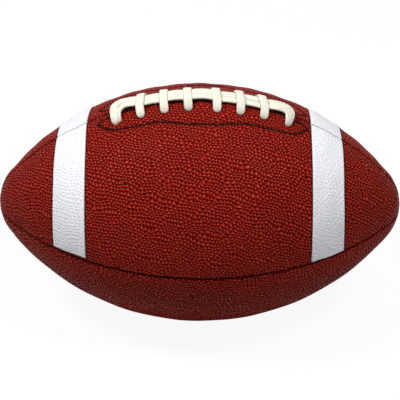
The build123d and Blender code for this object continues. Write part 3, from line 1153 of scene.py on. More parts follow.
@dataclass(frozen=True)
class BallSkin:
    """Heights of the finished leather above the plain round form."""

    form: BallForm
    lacing: Lacing
    valley_depth: float = 0.0011
    valley_width: float = 0.0021
    puff_depth: float = 0.0002
    puff_width: float = 0.007
    nose_share: float = 0.4
    nose_fade: float = 0.008
    pucker_depth: float = 0.00012
    pucker_pitch: float = 0.0048
    channel_depth: float = 0.0004
    channel_width: float = 0.0012
    dent_depth: float = 0.0007
    dent_width: float = 0.0026
    sway: float = 0.00014
    sway_waves: Pair = (31.0, 13.0)
    sway_turns: tuple[float, float, float] = (3.0, 5.0, -4.0)
    sway_phase: float = 0.7
    # Shares of painted shade in the seam valleys, the stitch channel and the dents at the lace holes
    valley_power: float = 0.6
    channel_crease: float = 0.9
    dent_crease: float = 0.5

    def seam_distance(self, arc: Array, turn: Array) -> tuple[Array, Array]:
        """Find how far points are from the nearest seam.

        Args:
            arc: Lengths along the skin from the belly's middle.
            turn: Turns about the long axis from the top towards the front.

        Returns:
            The distances from the seam, and the distances from the long axis.
        """
        out = self.form.outline(arc)[1]
        fold = np.abs((turn + QUARTER / 2) % QUARTER - QUARTER / 2)
        return out * np.sin(np.radians(fold)), out

    def valley(self, arc: Array, turn: Array) -> Array:
        """Find how deep the seams pull the leather in, from 0 away from them to 1 on them.

        Args:
            arc: Lengths along the skin from the belly's middle.
            turn: Turns about the long axis from the top towards the front.

        Returns:
            The share of a seam's depth at each point.
        """
        distance, out = self.seam_distance(arc, turn)
        width = np.maximum(np.minimum(self.valley_width, self.nose_share * out), self.valley_width / 100)
        return np.clip(1 - distance / width, 0, 1) ** 2 * np.clip(out / self.nose_fade, 0, 1)

    def lacing_marks(self, points: Array) -> tuple[Array, Array]:
        """Find the stitched channel and the dents at the lace holes.

        Args:
            points: Points on the skin, with X, Y and Z in the last axis.

        Returns:
            The channel and the dents at each point, each from 0 to 1.
        """
        channel = np.zeros(points.shape[:-1])
        dents = np.zeros(points.shape[:-1])
        margin = 2 * self.dent_width
        near = (
            (points[..., 2] > self.form.radius)
            & (np.abs(points[..., 1]) < self.lacing.reach + margin)
            & (np.abs(points[..., 0]) < self.lacing.half_length + self.lacing.offset + margin)
        )
        if not near.any():
            return channel, dents
        lines = np.vstack([line for side in Side for line in self.lacing.stitch_lines(side)])
        numbers = range(self.lacing.passes)
        holes = [self.lacing.hole(number, Side.FRONT) for number in numbers]
        holes = np.array(holes + [self.lacing.hole(number, Side.REAR) for number in numbers[1:-1]])
        holes = self.lacing.place(holes[:, 0], holes[:, 1], np.zeros(len(holes)))[:, :2]
        plan = points[near][:, None, :2]
        for mark, places, width in ((channel, lines, self.channel_width), (dents, holes, self.dent_width)):
            gaps = np.min(np.linalg.norm(plan - places[None], axis=2), axis=1)
            mark[near] = np.exp(-((gaps / width) ** 2))
        return channel, dents

    def heights(self, arc: Array, turn: Array) -> tuple[Array, Array]:
        """Find the finished leather's heights and where it is creased, which is where shade is painted.

        Args:
            arc: Lengths along the skin from the belly's middle.
            turn: Turns about the long axis from the top towards the front.

        Returns:
            The heights above the round form, and the creases, which get painted shade, from 0 to 1.
        """
        points = self.form.place(arc, turn, 0.0)
        distance, out = self.seam_distance(arc, turn)
        valley = self.valley(arc, turn)
        channel, dents = self.lacing_marks(points)
        fade = np.clip(out / (2 * self.nose_fade), 0, 1)
        puff = np.exp(-distance / self.puff_width) * fade
        pucker = np.exp(-distance / self.valley_width) * np.cos(2 * math.pi * arc / self.pucker_pitch) * fade
        roll = np.radians(turn)
        fine, broad = (wave * arc / self.form.radius for wave in self.sway_waves)
        fine_turn, cross_turn, broad_turn = (number * roll for number in self.sway_turns)
        sway = np.sin(fine + fine_turn) * np.sin(cross_turn + self.sway_phase)
        sway = (sway + np.sin(broad + broad_turn)) * fade
        height = self.lacing.welt(points) + self.sway * sway + self.pucker_depth * (pucker - 1) * fade
        height -= self.valley_depth * valley + self.puff_depth * puff
        height -= self.channel_depth * channel + self.dent_depth * dents
        # Painted shade in the seam valleys, the stitch channel and the dents at the lace holes
        crease = valley**self.valley_power + self.channel_crease * channel + self.dent_crease * dents
        return height, np.clip(crease, 0, 1)

    def surface(self, arc: Array, turn: Array) -> Array:
        """Find points on the finished leather, one row each."""
        return self.form.place(arc, turn, self.heights(arc, turn)[0])


@dataclass
class Dresser:
    """Materials, shared trees and the frame's nodes, and how a piece joins them."""

    nodes: dict[str, bpy.types.Object]
    grain: PebbleGrain = field(default_factory=PebbleGrain)
    materials: dict[str, bpy.types.Material] = field(init=False)
    relief: bpy.types.NodeTree = field(init=False)
    stitches: bpy.types.NodeTree = field(init=False)

    def __post_init__(self) -> None:
        """Build the shared trees and all finishes."""
        groups = {tree.name: tree for tree in (self.grain.shader_group(), mottle_group(), weave_group())}
        self.materials = {finish.name: finish.material(groups) for finish in FINISHES}
        self.relief = self.grain.relief_tree()
        self.stitches = stitch_tree()

    def join(self, piece: bpy.types.Object, slot: str, *nodes: str) -> None:
        """Put a piece on the ball in place of the solids that it stands for.

        Args:
            piece: The piece.
            slot: Its material slot in the record; not used.
            *nodes: The solids that it replaces.
        """
        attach(piece, BODY)
        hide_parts(*nodes)
        LOG.info("%s: %d faces, stands for %s", piece.name, len(piece.data.polygons), ", ".join(nodes))

    def emboss(self, piece: bpy.types.Object, slot: str, depth: float = 1.0) -> None:
        """Raise the pebbles out of a leather piece, by a share of their full depth."""
        values = {"Relief": self.grain.relief * depth, "Dome": self.grain.dome}
        run_tree(piece, self.relief, values | {"Leather": self.materials[slot]})


@dataclass
class Panel:
    """One leather panel: a quarter of the skin, turned in at its seams."""

    label: str
    quarter: int
    skin: BallSkin
    has_valve: bool = False
    rows: int = 512
    columns: int = 160
    edge_columns: int = 8
    edge_width: float = 0.0024
    step: int = 8
    thickness: float = 0.002
    hole_radius: float = 0.0046
    hole_cells: int = 6
    lip: float = 0.0016
    lip_drop: float = 0.0003
    # Share of painted shade on the lip round the valve hole
    lip_crease: float = 0.6
    hole_spread: int = 3
    grain_fade: Pair = (0.1, 0.6)
    slot: str = "panel_leather"

    @property
    def middle(self) -> float:
        """Turn of the panel's middle about the long axis."""
        return (self.quarter + 0.5) * QUARTER

    def arcs(self) -> Array:
        """Lengths along the skin of the rows, with a tip at both ends."""
        return np.linspace(-self.skin.form.half_arc, self.skin.form.half_arc, self.rows + 1)

    def turns(self) -> Array:
        """Space the columns, closer together at the seams.

        Returns:
            Their turns about the long axis.
        """
        edge = math.degrees(self.edge_width / self.skin.form.radius)
        first = np.linspace(0, edge, self.edge_columns, endpoint=False)
        inside = np.linspace(edge, QUARTER - edge, self.columns, endpoint=False)
        last = np.linspace(QUARTER - edge, QUARTER, self.edge_columns + 1)
        return self.quarter * QUARTER + np.concatenate([first, inside, last])

    def outside(self) -> tuple[Array, Array, Array, Array]:
        """Lay out the points of the outer face between its tips, in rows and columns.

        Returns:
            Their lengths along the skin, their turns about the long axis, their heights and their creases,
            which get painted shade.
        """
        arc, turn = np.meshgrid(self.arcs()[1:-1], self.turns(), indexing="ij")
        if not self.has_valve:
            return arc, turn, *self.skin.heights(arc, turn)
        arc, turn = self.round_hole(arc, turn)
        height, crease = self.skin.heights(arc, turn)
        away = np.hypot(arc, np.radians(turn - self.middle) * self.skin.form.radius) - self.hole_radius
        lip = 1 - smooth_step(0, self.lip, away)
        # The lip round the valve hole sinks and gets painted shade
        return arc, turn, height - self.lip_drop * lip, np.maximum(crease, self.lip_crease * lip)

    def mesh(self) -> bpy.types.Mesh:
        """Make the panel's closed mesh: a fine outer face, a coarse inner one and plain seam walls.

        Returns:
            The mesh, with its creases for the painted shade and its grain stored on its points.
        """
        form = self.skin.form
        arc, turn, height, crease = self.outside()
        coarse = np.s_[self.step - 1 :: self.step, :: self.step]
        tip_arcs, tip_turns = self.arcs()[[0, -1]], self.turns()[[0, 0]]
        outer = form.place(arc, turn, height)
        inner = form.place(arc, turn, height - self.thickness)[coarse]
        tips, inner_tips = (form.place(tip_arcs, tip_turns, depth) for depth in (0.0, -self.thickness))
        parts = [outer.reshape(-1, 3), tips, inner.reshape(-1, 3), inner_tips]
        starts = np.cumsum([0] + [len(part) for part in parts])
        grid = self.numbers(starts[0], starts[1], self.rows, outer.shape[1])
        back = self.numbers(starts[2], starts[3], self.rows // self.step, inner.shape[1])
        cells, back_cells = (self.hole_cells, 1) if self.has_valve else (0, 0)
        faces = self.sheet(grid, cells) + [face[::-1] for face in self.sheet(back, back_cells)]
        faces += self.wall(grid[:, 0], back[:, 0])
        faces += [face[::-1] for face in self.wall(grid[:, -1], back[:, -1])]
        if self.has_valve:
            faces += self.wall(self.rim(grid, cells), self.rim(back, back_cells))
        mesh = smooth_mesh(self.label, np.vstack(parts), faces)
        rest = np.zeros(starts[-1] - starts[1])
        store(mesh, Mask.CREASE, np.concatenate([crease.ravel(), rest]))
        grain = 1 - smooth_step(*self.grain_fade, crease.ravel())
        store(mesh, Mask.GRAIN, np.concatenate([grain, rest]))
        hide = form.hide(arc, turn, self.quarter)
        tip_hide = form.hide(tip_arcs, tip_turns, self.quarter)
        parts = [hide.reshape(-1, 3), tip_hide, hide[coarse].reshape(-1, 3), tip_hide]
        store(mesh, Mask.HIDE, np.vstack(parts))
        if self.has_valve:
            drop_loose(mesh)
        return mesh

    def round_hole(self, arc: Array, turn: Array) -> tuple[Array, Array]:
        """Bend the rows and columns round the valve hole, so that one ring of points lies on its edge.

        Args:
            arc: Lengths along the skin from the belly's middle, in rows and columns.
            turn: Turns about the long axis, in the same rows and columns.

        Returns:
            The bent lengths and turns.
        """
        row = np.arange(arc.shape[0])[:, None] - arc.shape[0] // 2
        column = np.arange(arc.shape[1])[None] - arc.shape[1] // 2
        ring = np.maximum(np.abs(row), np.abs(column))
        angle = np.arctan2(column, row)
        reach = ring * self.hole_radius / self.hole_cells
        share = smooth_step(self.hole_cells, self.hole_spread * self.hole_cells, ring)
        round_arc = reach * np.cos(angle)
        round_turn = self.middle + np.degrees(reach * np.sin(angle) / self.skin.form.radius)
        return round_arc + (arc - round_arc) * share, round_turn + (turn - round_turn) * share

    @staticmethod
    def rim(grid: Array, cells: int) -> Array:
        """Find the closed loop of points round the hole in the middle of a sheet.

        Args:
            grid: The sheet's point numbers in rows.
            cells: How many faces the hole reaches from its middle.

        Returns:
            The point numbers, with the first one again at the end.
        """
        row, column = grid.shape[0] // 2, grid.shape[1] // 2
        block = grid[row - cells : row + cells + 1, column - cells : column + cells + 1]
        return np.concatenate([block[0, :-1], block[:-1, -1], block[-1, :0:-1], block[::-1, 0]])

    @staticmethod
    def numbers(start: int, tips: int, rows: int, across: int) -> Array:
        """Number a sheet's points in rows. The left tip's number fills the first row, the next the last."""
        inside = start + np.arange((rows - 1) * across).reshape(rows - 1, across)
        return np.vstack([np.full(across, tips), inside, np.full(across, tips + 1)])

    @staticmethod
    def sheet(grid: Array, cells: int) -> Faces:
        """Make the faces of a sheet, with triangles at its tips and an optional hole in its middle.

        Args:
            grid: The sheet's point numbers in rows.
            cells: How many faces the hole reaches from its middle, or 0 for none.

        Returns:
            The faces, which point outwards.
        """
        quads = grid_quads(grid)
        row, column = grid.shape[0] // 2, grid.shape[1] // 2
        kept = np.ones(quads.shape[:2], bool)
        kept[row - cells : row + cells, column - cells : column + cells] = False
        faces = [tuple(quad) for quad in quads[1:-1][kept[1:-1]].tolist()]
        faces += [(a, c, d) for a, b, c, d in quads[0].tolist()]
        faces += [(a, b, c) for a, b, c, d in quads[-1].tolist()]
        return faces

    @staticmethod
    def wall(outer: Array, inner: Array) -> Faces:
        """Close an edge between the fine outer face and the coarse inner one.

        Args:
            outer: Point numbers along the outer edge.
            inner: Point numbers along the inner edge.

        Returns:
            The wall's faces.
        """
        faces = []
        step = (len(outer) - 1) // (len(inner) - 1)
        for number, (near, far) in enumerate(zip(inner[:-1].tolist(), inner[1:].tolist())):
            run = outer[number * step : (number + 1) * step + 1].tolist()
            faces.append((*run, far, near))
        return faces

    def build(self, dresser: Dresser) -> None:
        """Make the panel, raise its grain and put it on the ball.

        Args:
            dresser: The materials and trees.
        """
        piece = new_object(f"skin_{self.label}", self.mesh())
        dresser.emboss(piece, self.slot)
        dresser.join(piece, self.slot, f"panel_{self.label}")


@dataclass(frozen=True)
class StitchRow:
    """A row of separate stitches on the leather."""

    skin: BallSkin
    pitch: float
    length: float
    width: float
    height: float
    slant: float

    def build(
        self, dresser: Dresser, name: str, rows: Sequence[tuple[Array, Array]], slot: str
    ) -> bpy.types.Object:
        """Sew rows of stitches.

        Args:
            dresser: The materials and trees.
            name: The piece's name.
            rows: For each row, lengths along the skin and turns about the long axis of its line.
            slot: The thread's material slot.

        Returns:
            All rows as one piece.
        """
        points, normals, edges = [], [], []
        count = 0
        for arc, turn in rows:
            points.append(self.skin.surface(arc, turn))
            normals.append(self.skin.form.outward(arc, turn))
            edges += [(number, number + 1) for number in range(count, count + len(arc) - 1)]
            count += len(arc)
        mesh = bpy.data.meshes.new(name)
        mesh.from_pydata(np.vstack(points).tolist(), edges, [])
        store(mesh, Mask.NORMAL, np.vstack(normals))
        piece = new_object(name, mesh)
        values = {"Pitch": self.pitch, "Length": self.length, "Width": self.width, "Height": self.height,
                  "Slant": math.radians(self.slant), "Thread": dresser.materials[slot]}
        run_tree(piece, dresser.stitches, values)
        return piece


# How far a stripe's inner and outer edges sway, each at the top, in the middle and at the low end
STRIPE_SWAYS = {
    End.LEFT: ((0.0012, -0.0004, -0.0008), (0.0003, 0.0003, 0.0006)),
    End.RIGHT: ((0.0, -0.0003, 0.0001), (-0.0002, -0.0004, 0.0012)),
}
# Gap between a stripe's low end and the seam below it
STRIPE_LOW_GAPS = {End.LEFT: 0.0025, End.RIGHT: 0.0015}


@dataclass
class Stripe:
    """One white stripe on an upper panel, and the thread along both of its edges."""

    end: End
    side: Side
    skin: BallSkin
    from_end: float = 0.0665
    width: float = 0.0259
    seam_gap: float = 0.0004
    lift: float = 0.0006
    round: float = 0.0008
    skirt: float = 0.0005
    spacing: float = 0.0007
    # Width over which the stripe gets darker towards its long edges
    edge_darkening: float = 0.0004
    thread_gap: float = 0.00055
    thread_steps: int = 120
    crease_fade: Pair = (0.5, 1.0)
    grain_depth: float = 0.4
    slot: str = "stripe_leather"
    thread_slot: str = "dark_thread"

    def arcs(self, turn: Array) -> tuple[Array, Array]:
        """Find the stripe's two edges, which are cut by hand and sway a little between its ends.

        Args:
            turn: Turns about the long axis.

        Returns:
            Lengths along the skin of the left edge and of the right one.
        """
        form = self.skin.form
        share = np.abs((turn + 2 * QUARTER) % (4 * QUARTER) - 2 * QUARTER) / QUARTER
        inner_sway, outer_sway = STRIPE_SWAYS[self.end]
        inner = form.arc_at(form.half_length - self.from_end)
        near = self.end.sign * (inner + np.interp(share, (0, 0.5, 1), inner_sway))
        far = self.end.sign * (inner + self.width + np.interp(share, (0, 0.5, 1), outer_sway))
        return np.minimum(near, far), np.maximum(near, far)

    def turns(self) -> tuple[float, float]:
        """Find the stripe's two ends, just clear of the top seam and a little above the low one.

        Returns:
            Their turns about the long axis.
        """
        start = self.side.quarter * QUARTER
        edges = np.concatenate(self.arcs(np.array([start, start + QUARTER])))
        out = float(self.skin.form.outline(edges)[1].min())
        gaps = (self.seam_gap, STRIPE_LOW_GAPS[self.end])
        top_gap, low_gap = (math.degrees(gap / out) for gap in gaps)
        if self.side is Side.FRONT:
            return start + top_gap, start + QUARTER - low_gap
        return start + low_gap, start + QUARTER - top_gap

    def mesh(self) -> bpy.types.Mesh:
        """Make the stripe's closed mesh, with rounded long edges.

        Returns:
            The mesh, with its darker edges, its creases for the painted shade and its grain stored on its
            points.
        """
        form = self.skin.form
        start, end = self.turns()
        rows = round(self.width / self.spacing)
        columns = round(math.radians(end - start) * form.radius / self.spacing)
        shares, turns = np.linspace(0, 1, rows + 1), np.linspace(start, end, columns + 1)
        share, turn = np.meshgrid(shares, turns, indexing="ij")
        left, right = self.arcs(turn)
        arc = left + (right - left) * share
        height, crease = self.skin.heights(arc, turn)
        edge = np.minimum(arc - left, right - arc)
        rise = np.sqrt(np.clip(1 - np.clip(1 - edge / self.round, 0, 1) ** 2, 0, 1))
        top = form.place(arc, turn, height + self.lift * rise)
        bottom = form.place(arc, turn, height - self.skirt)
        count = arc.size
        upper = np.arange(count).reshape(arc.shape)
        faces = grid_faces(upper)
        faces += [tuple(number + count for number in reversed(face)) for face in faces]
        rim = np.concatenate([upper[:-1, 0], upper[-1, :-1], upper[:0:-1, -1], upper[0, :0:-1]])
        for near, far in zip(rim.tolist(), np.roll(rim, -1).tolist()):
            faces.append((near, far, far + count, near + count))
        points = np.vstack([top.reshape(-1, 3), bottom.reshape(-1, 3)])
        mesh = smooth_mesh(f"stripe_{self.end.label}", points, faces)
        # Darker towards the long edges; the seam creases add painted shade
        edge_dark = 1 - smooth_step(0, self.edge_darkening, edge)
        worked = np.maximum(edge_dark, smooth_step(*self.crease_fade, crease)).ravel()
        store(mesh, Mask.CREASE, np.concatenate([worked, np.ones(count)]))
        store(mesh, Mask.GRAIN, np.concatenate([1 - worked, np.zeros(count)]))
        hide = form.hide(arc, turn, self.side.quarter).reshape(-1, 3)
        store(mesh, Mask.HIDE, np.vstack([hide, hide]))
        return mesh

    def thread(self, dresser: Dresser, name: str) -> bpy.types.Object:
        """Sew both long edges down.

        Args:
            dresser: The materials and trees.
            name: The sewing's name.

        Returns:
            The sewing, as one piece.
        """
        turn = np.linspace(*self.turns(), self.thread_steps)
        left, right = self.arcs(turn)
        rows = [(left - self.thread_gap, turn), (right + self.thread_gap, turn)]
        sewing = StitchRow(self.skin, pitch=0.0021, length=0.0027, width=0.0009, height=0.0007, slant=16.0)
        return sewing.build(dresser, name, rows, self.thread_slot)

    def build(self, dresser: Dresser) -> None:
        """Make the stripe and its thread and put them on the ball.

        Args:
            dresser: The materials and trees.
        """
        name = f"{self.end.label}_{self.side.label}"
        piece = new_object(f"stripe_band_{name}", self.mesh())
        dresser.emboss(piece, self.slot, self.grain_depth)
        dresser.join(piece, self.slot, f"stripe_{name}")
        sewing = self.thread(dresser, f"stripe_sewing_{name}")
        dresser.join(sewing, self.thread_slot, f"stripe_stitching_{name}")


@dataclass
class FacingStitching:
    """The dark stitching round the lacing on one side of the seam."""

    side: Side
    skin: BallSkin
    slot: str = "dark_thread"

    def build(self, dresser: Dresser) -> None:
        """Sew the line and put it on the ball.

        Args:
            dresser: The materials and trees.
        """
        form = self.skin.form
        rows = []
        for line in self.skin.lacing.stitch_lines(self.side):
            arc = np.array([form.arc_at(along) for along in line[:, 0]])
            rows.append((arc, np.degrees(np.arcsin(-line[:, 1] / form.outline(arc)[1]))))
        row = StitchRow(self.skin, pitch=0.0024, length=0.0029, width=0.0012, height=0.001, slant=5.0)
        piece = row.build(dresser, f"facing_sewing_{self.side.label}", rows, self.slot)
        dresser.join(piece, self.slot, f"facing_stitching_{self.side.label}")


# Points of a strand's end: how far past the last pass, to the front of the seam and above the crest
LACE_TURNS = {
    (Side.FRONT, End.LEFT): (
        (-0.0120, 0.0027, 0.0034), (-0.0066, 0.0026, 0.0042), (-0.0030, 0.0030, 0.0036),
        (-0.0002, 0.0050, 0.0027), (0.0006, 0.0078, 0.0015), (0.0007, 0.0101, -0.0002),
        (0.0008, 0.0114, -0.0026), (0.0008, 0.0118, -0.0088),
    ),
    (Side.REAR, End.LEFT): (
        (-0.0120, -0.0027, 0.0034), (-0.0066, -0.0026, 0.0042), (-0.0020, -0.0024, 0.0045),
        (0.0011, -0.0010, 0.0046), (0.0026, 0.0020, 0.0045), (0.0028, 0.0055, 0.0039),
        (0.0029, 0.0085, 0.0026), (0.0031, 0.0110, 0.0007), (0.0032, 0.0123, -0.0016),
        (0.0032, 0.0126, -0.0088),
    ),
    (Side.FRONT, End.RIGHT): (
        (-0.0120, 0.0027, 0.0031), (-0.0070, 0.0026, 0.0038), (-0.0024, 0.0029, 0.0040),
        (0.0004, 0.0047, 0.0038), (0.0013, 0.0078, 0.0026), (0.0016, 0.0101, 0.0008),
        (0.0018, 0.0112, -0.0016), (0.0018, 0.0114, -0.0088),
    ),
    (Side.REAR, End.RIGHT): (
        (-0.0120, -0.0026, 0.0032), (-0.0070, -0.0025, 0.0040), (-0.0020, -0.0023, 0.0041),
        (0.0012, -0.0007, 0.0040), (0.0025, 0.0028, 0.0036), (0.0024, 0.0070, 0.0021),
        (0.0021, 0.0100, -0.0001), (0.0019, 0.0111, -0.0026), (0.0019, 0.0113, -0.0088),
    ),
}


@dataclass
class Lace:
    """The flat leather lace: two strands along the seam, the passes over them and the runs below.

    The strands bow up between the passes. At both ends they turn to the front and go down into the last
    holes, the rear one over the front one on the left and under it on the right.
    """

    lacing: Lacing
    width: float = 0.0058
    thickness: float = 0.002
    gap: float = 0.0002
    ride: float = 0.0009
    strand_gap: float = 0.0014
    shoulder: float = 0.0066
    mouth: float = 0.0022
    depth: float = 0.0088
    hole_pinch: float = 0.3
    sunk: float = 0.001
    pass_taper: float = 0.0016
    end_taper: float = 0.006
    press: float = 0.0034
    press_share: float = 0.75
    bows: tuple[float, ...] = (0.0007, 0.0014, 0.0018, 0.0003, 0.0004)
    corner_power: float = 3.2
    side_power: float = 4.7
    section_points: int = 20
    strand_steps: int = 8
    closed_share: float = 0.4
    pass_rounds: int = 4
    flat_share: float = 0.7
    run_shares: Pair = (0.04, 0.96)
    run_steps: int = 10
    # Share of painted shade where the lace pinches into its holes
    crease_share: float = 0.5
    slot: str = "lace_leather"

    @property
    def base(self) -> float:
        """Height of a strand's middle above the crest under a pass."""
        return self.ride + self.thickness / 2

    def section(self) -> Array:
        """Outline of the lace's section, one unit wide and thick to each side.

        Returns:
            The section's points, one row each.
        """
        angle = np.linspace(0, 2 * math.pi, self.section_points, endpoint=False)
        wide, tall = np.cos(angle), np.sin(angle)
        wide = np.sign(wide) * np.abs(wide) ** (2 / self.side_power)
        tall = np.sign(tall) * np.abs(tall) ** (2 / self.corner_power)
        return np.stack([wide, tall], axis=1)

    def sweep(self, line: Array, flat: Array, widths: Array) -> tuple[Array, Faces]:
        """Run the section along a line.

        Args:
            line: The line's points, one row each.
            flat: The direction across the lace's flat at each point, nearly square to the line.
            widths: Share of the full width at each point.

        Returns:
            The points and the faces of a closed ribbon.
        """
        ahead = unit(np.gradient(line, axis=0))
        across = unit(flat - np.sum(flat * ahead, axis=1, keepdims=True) * ahead)
        upright = np.cross(ahead, across)
        section = self.section()
        wide = across[:, None] * section[None, :, :1] * (self.width / 2 * widths)[:, None, None]
        tall = upright[:, None] * section[None, :, 1:] * self.thickness / 2
        points = (line[:, None] + wide + tall).reshape(-1, 3)
        rings = np.arange(len(points)).reshape(-1, self.section_points)
        caps = [tuple(reversed(rings[0].tolist())), tuple(rings[-1].tolist())]
        return points, grid_faces(rings, closed=True) + caps

    @staticmethod
    def carried(line: Array) -> Array:
        """Carry the lace's flat along a line from its middle, without a twist.

        Args:
            line: The line's points, one row each.

        Returns:
            The direction across the flat at each point.
        """
        ahead = unit(np.gradient(line, axis=0))
        middle = len(line) // 2
        flats = np.tile(np.array([0.0, -1.0, 0.0]), (len(line), 1))
        for order in (range(middle + 1, len(line)), range(middle - 1, -1, -1)):
            flat = flats[middle]
            for number in order:
                flat = unit(flat - flat.dot(ahead[number]) * ahead[number])
                flats[number] = flat
        return flats

    def pinched(self, across: Array, above: Array, taper: float) -> Array:
        """Narrow the lace towards its holes.

        Args:
            across: Distances from the seam.
            above: Heights above the crest.
            taper: Height above the leather at which it starts to narrow.

        Returns:
            The share of the full width at each point.
        """
        clear = above + across**2 / (2 * self.lacing.welt_round) + self.sunk
        left = 1 - np.clip(clear / (taper + self.sunk), 0, 1)
        return self.hole_pinch + (1 - self.hole_pinch) * np.sqrt(1 - left**2)

    def crossing(self, number: int) -> tuple[Array, Array, Array]:
        """Draw one pass from its front hole over the strands to its rear hole.

        Args:
            number: Which pass, from the left.

        Returns:
            The pass's points, the directions across its flat and its width shares.
        """
        front, hole = self.lacing.hole(number, Side.FRONT)
        rear = self.lacing.hole(number, Side.REAR)[0]
        over = self.base + self.thickness + self.gap
        low = -hole**2 / (2 * self.lacing.welt_round)
        half = [(hole, -self.depth), (hole, low - self.mouth), (hole - self.gap, low + self.mouth / 2),
                (self.shoulder, over - self.gap), (self.shoulder * self.flat_share, over),
                (0.0, over + self.gap)]
        corners = half + [(-across, above) for across, above in reversed(half[:-1])]
        line = cut_corners(corners, self.pass_rounds)
        along = (front + rear) / 2 + (front - rear) / 2 * line[:, 0] / hole
        widths = self.pinched(line[:, 0], line[:, 1], self.pass_taper)
        points = self.lacing.place(along, line[:, 0], line[:, 1])
        return points, self.lacing.along(along), widths

    def under_run(self, number: int) -> tuple[Array, Array, Array]:
        """Draw the hidden run from one pass's rear hole to the next one's front hole.

        Args:
            number: Which pass it starts from.

        Returns:
            The run's points, the directions across its flat and its width shares.
        """
        start, end = self.lacing.hole(number, Side.REAR), self.lacing.hole(number + 1, Side.FRONT)
        share = np.linspace(*self.run_shares, self.run_steps)
        along = start[0] + (end[0] - start[0]) * share
        across = start[1] + (end[1] - start[1]) * share
        above = -self.depth - across**2 / (2 * self.lacing.welt_round) * (1 - self.hole_pinch)
        return self.lacing.place(along, across, above), self.lacing.along(along), np.ones_like(share)

    def strand(self, side: Side) -> tuple[Array, Array, Array]:
        """Draw one strand along the seam, with both ends turned to the front into the last holes.

        Args:
            side: Side of the seam.

        Returns:
            The strand's points, the directions across its flat and its width shares.
        """
        last = self.lacing.places[-1]
        out = -side.sign * self.width / 2
        left_turn = reversed(LACE_TURNS[side, End.LEFT])
        route = [(-last - past, across, above) for past, across, above in left_turn]
        inner = np.add(self.lacing.places, self.lacing.shifts)[1:-1].tolist()
        for start, end, bow in zip(inner, inner[1:], self.bows):
            pressed = self.base + self.press_share * bow
            route += [(start, out, self.base), (start + self.press, out, pressed),
                      ((start + end) / 2, out, self.base + bow), (end - self.press, out, pressed)]
        route.append((inner[-1], out, self.base))
        route += [(last + past, across, above) for past, across, above in LACE_TURNS[side, End.RIGHT]]
        line = through_points(route, self.strand_steps)
        level = np.abs(line[:, 0]) < inner[-1]
        apart = self.strand_gap * (smooth_step(-last, last, line[:, 0]) - self.closed_share) / 2
        across = line[:, 1] - side.sign * np.where(level, apart, 0.0)
        points = self.lacing.place(line[:, 0], across, line[:, 2])
        widths = np.where(level, 1.0, self.pinched(across, line[:, 2], self.end_taper))
        return points, self.carried(points), widths

    def build(self, dresser: Dresser) -> None:
        """Make the lace and put it on the ball.

        Args:
            dresser: The materials and trees.
        """
        runs = [self.strand(side) for side in Side]
        runs += [self.crossing(number) for number in range(1, self.lacing.passes - 1)]
        runs += [self.under_run(number) for number in range(1, self.lacing.passes - 2)]
        points, faces, creases = [], [], []
        for line, flat, widths in runs:
            ribbon, sides = self.sweep(line, flat, widths)
            start = sum(len(done) for done in points)
            points.append(ribbon)
            faces += [tuple(number + start for number in face) for face in sides]
            # Painted shade where the lace narrows into its holes
            creases.append(np.repeat(1 - smooth_step(self.hole_pinch, 1.0, widths), self.section_points))
        mesh = smooth_mesh("lace", np.vstack(points), faces)
        store(mesh, Mask.CREASE, np.concatenate(creases) * self.crease_share)
        mesh.materials.append(dresser.materials[self.slot])
        face_outwards(mesh)
        piece = new_object("lace_leather", mesh)
        dresser.join(piece, self.slot, "lace")


@dataclass
class InnerLayers:
    """The solids that stay as they are: linings, facings, tongue, bladder, seam thread and valve."""

    slots: dict[str, str]

    def build(self, dresser: Dresser) -> None:
        """Give each solid that no piece replaces its finish.

        Args:
            dresser: The materials and trees.
        """
        for name, node in sorted(dresser.nodes.items()):
            if node.hide_render:
                continue
            node.data.materials.clear()
            node.data.materials.append(dresser.materials[self.slots[name]])
            LOG.info("%s: stays, in %s", name, self.slots[name])


def direction(azimuth: float, elevation: float) -> Vector:
    """Direction from the ball to a place round it, by its turn to the right and its angle above the floor."""
    turn, climb = math.radians(azimuth), math.radians(elevation)
    return Vector((math.sin(turn) * math.cos(climb), -math.cos(turn) * math.cos(climb), math.sin(climb)))


@dataclass(frozen=True)
class Lamp:
    """One soft lamp that is aimed at the ball."""

    name: str
    azimuth: float
    elevation: float
    distance: float
    size: float
    power: float

    def build(self, target: Vector) -> None:
        """Hang the lamp.

        Args:
            target: The point that it is aimed at.
        """
        light = bpy.data.lights.new(self.name, "AREA")
        light.shape = "DISK"
        light.size = self.size
        light.energy = self.power
        lamp = new_object(self.name, light)
        away = direction(self.azimuth, self.elevation)
        lamp.location = target + away * self.distance
        lamp.rotation_euler = away.to_track_quat("Z", "Y").to_euler()


@dataclass(frozen=True)
class Camera:
    """The photograph's viewpoint, found from the ball's outline, seams and stripe edges."""

    distance: float = 0.93
    azimuth: float = 0.75
    elevation: float = 36.515
    roll: float = -0.112
    focal_pixels: float = 1299.65
    centre_pixel: Pair = (199.469, 202.013)
    frame_pixels: float = 400.0
    sensor: float = 36.0

    def build(self, target: Vector) -> None:
        """Set the camera up.

        Args:
            target: The ball's centre, which lies at the centre pixel.
        """
        data = bpy.data.cameras.new("camera")
        data.sensor_width = self.sensor
        data.lens = self.focal_pixels / self.frame_pixels * self.sensor
        data.shift_x = (self.frame_pixels / 2 - self.centre_pixel[0]) / self.frame_pixels
        data.shift_y = (self.centre_pixel[1] - self.frame_pixels / 2) / self.frame_pixels
        camera = new_object("camera", data)
        back = direction(self.azimuth, self.elevation)
        turn = math.radians(self.azimuth)
        right = Vector((math.cos(turn), math.sin(turn), 0.0))
        up = back.cross(right)
        roll = math.radians(self.roll)
        rolled_right = right * math.cos(roll) - up * math.sin(roll)
        rolled_up = right * math.sin(roll) + up * math.cos(roll)
        axes = Matrix((rolled_right, rolled_up, back)).transposed().to_4x4()
        camera.matrix_world = Matrix.Translation(target + back * self.distance) @ axes
        bpy.context.scene.camera = camera


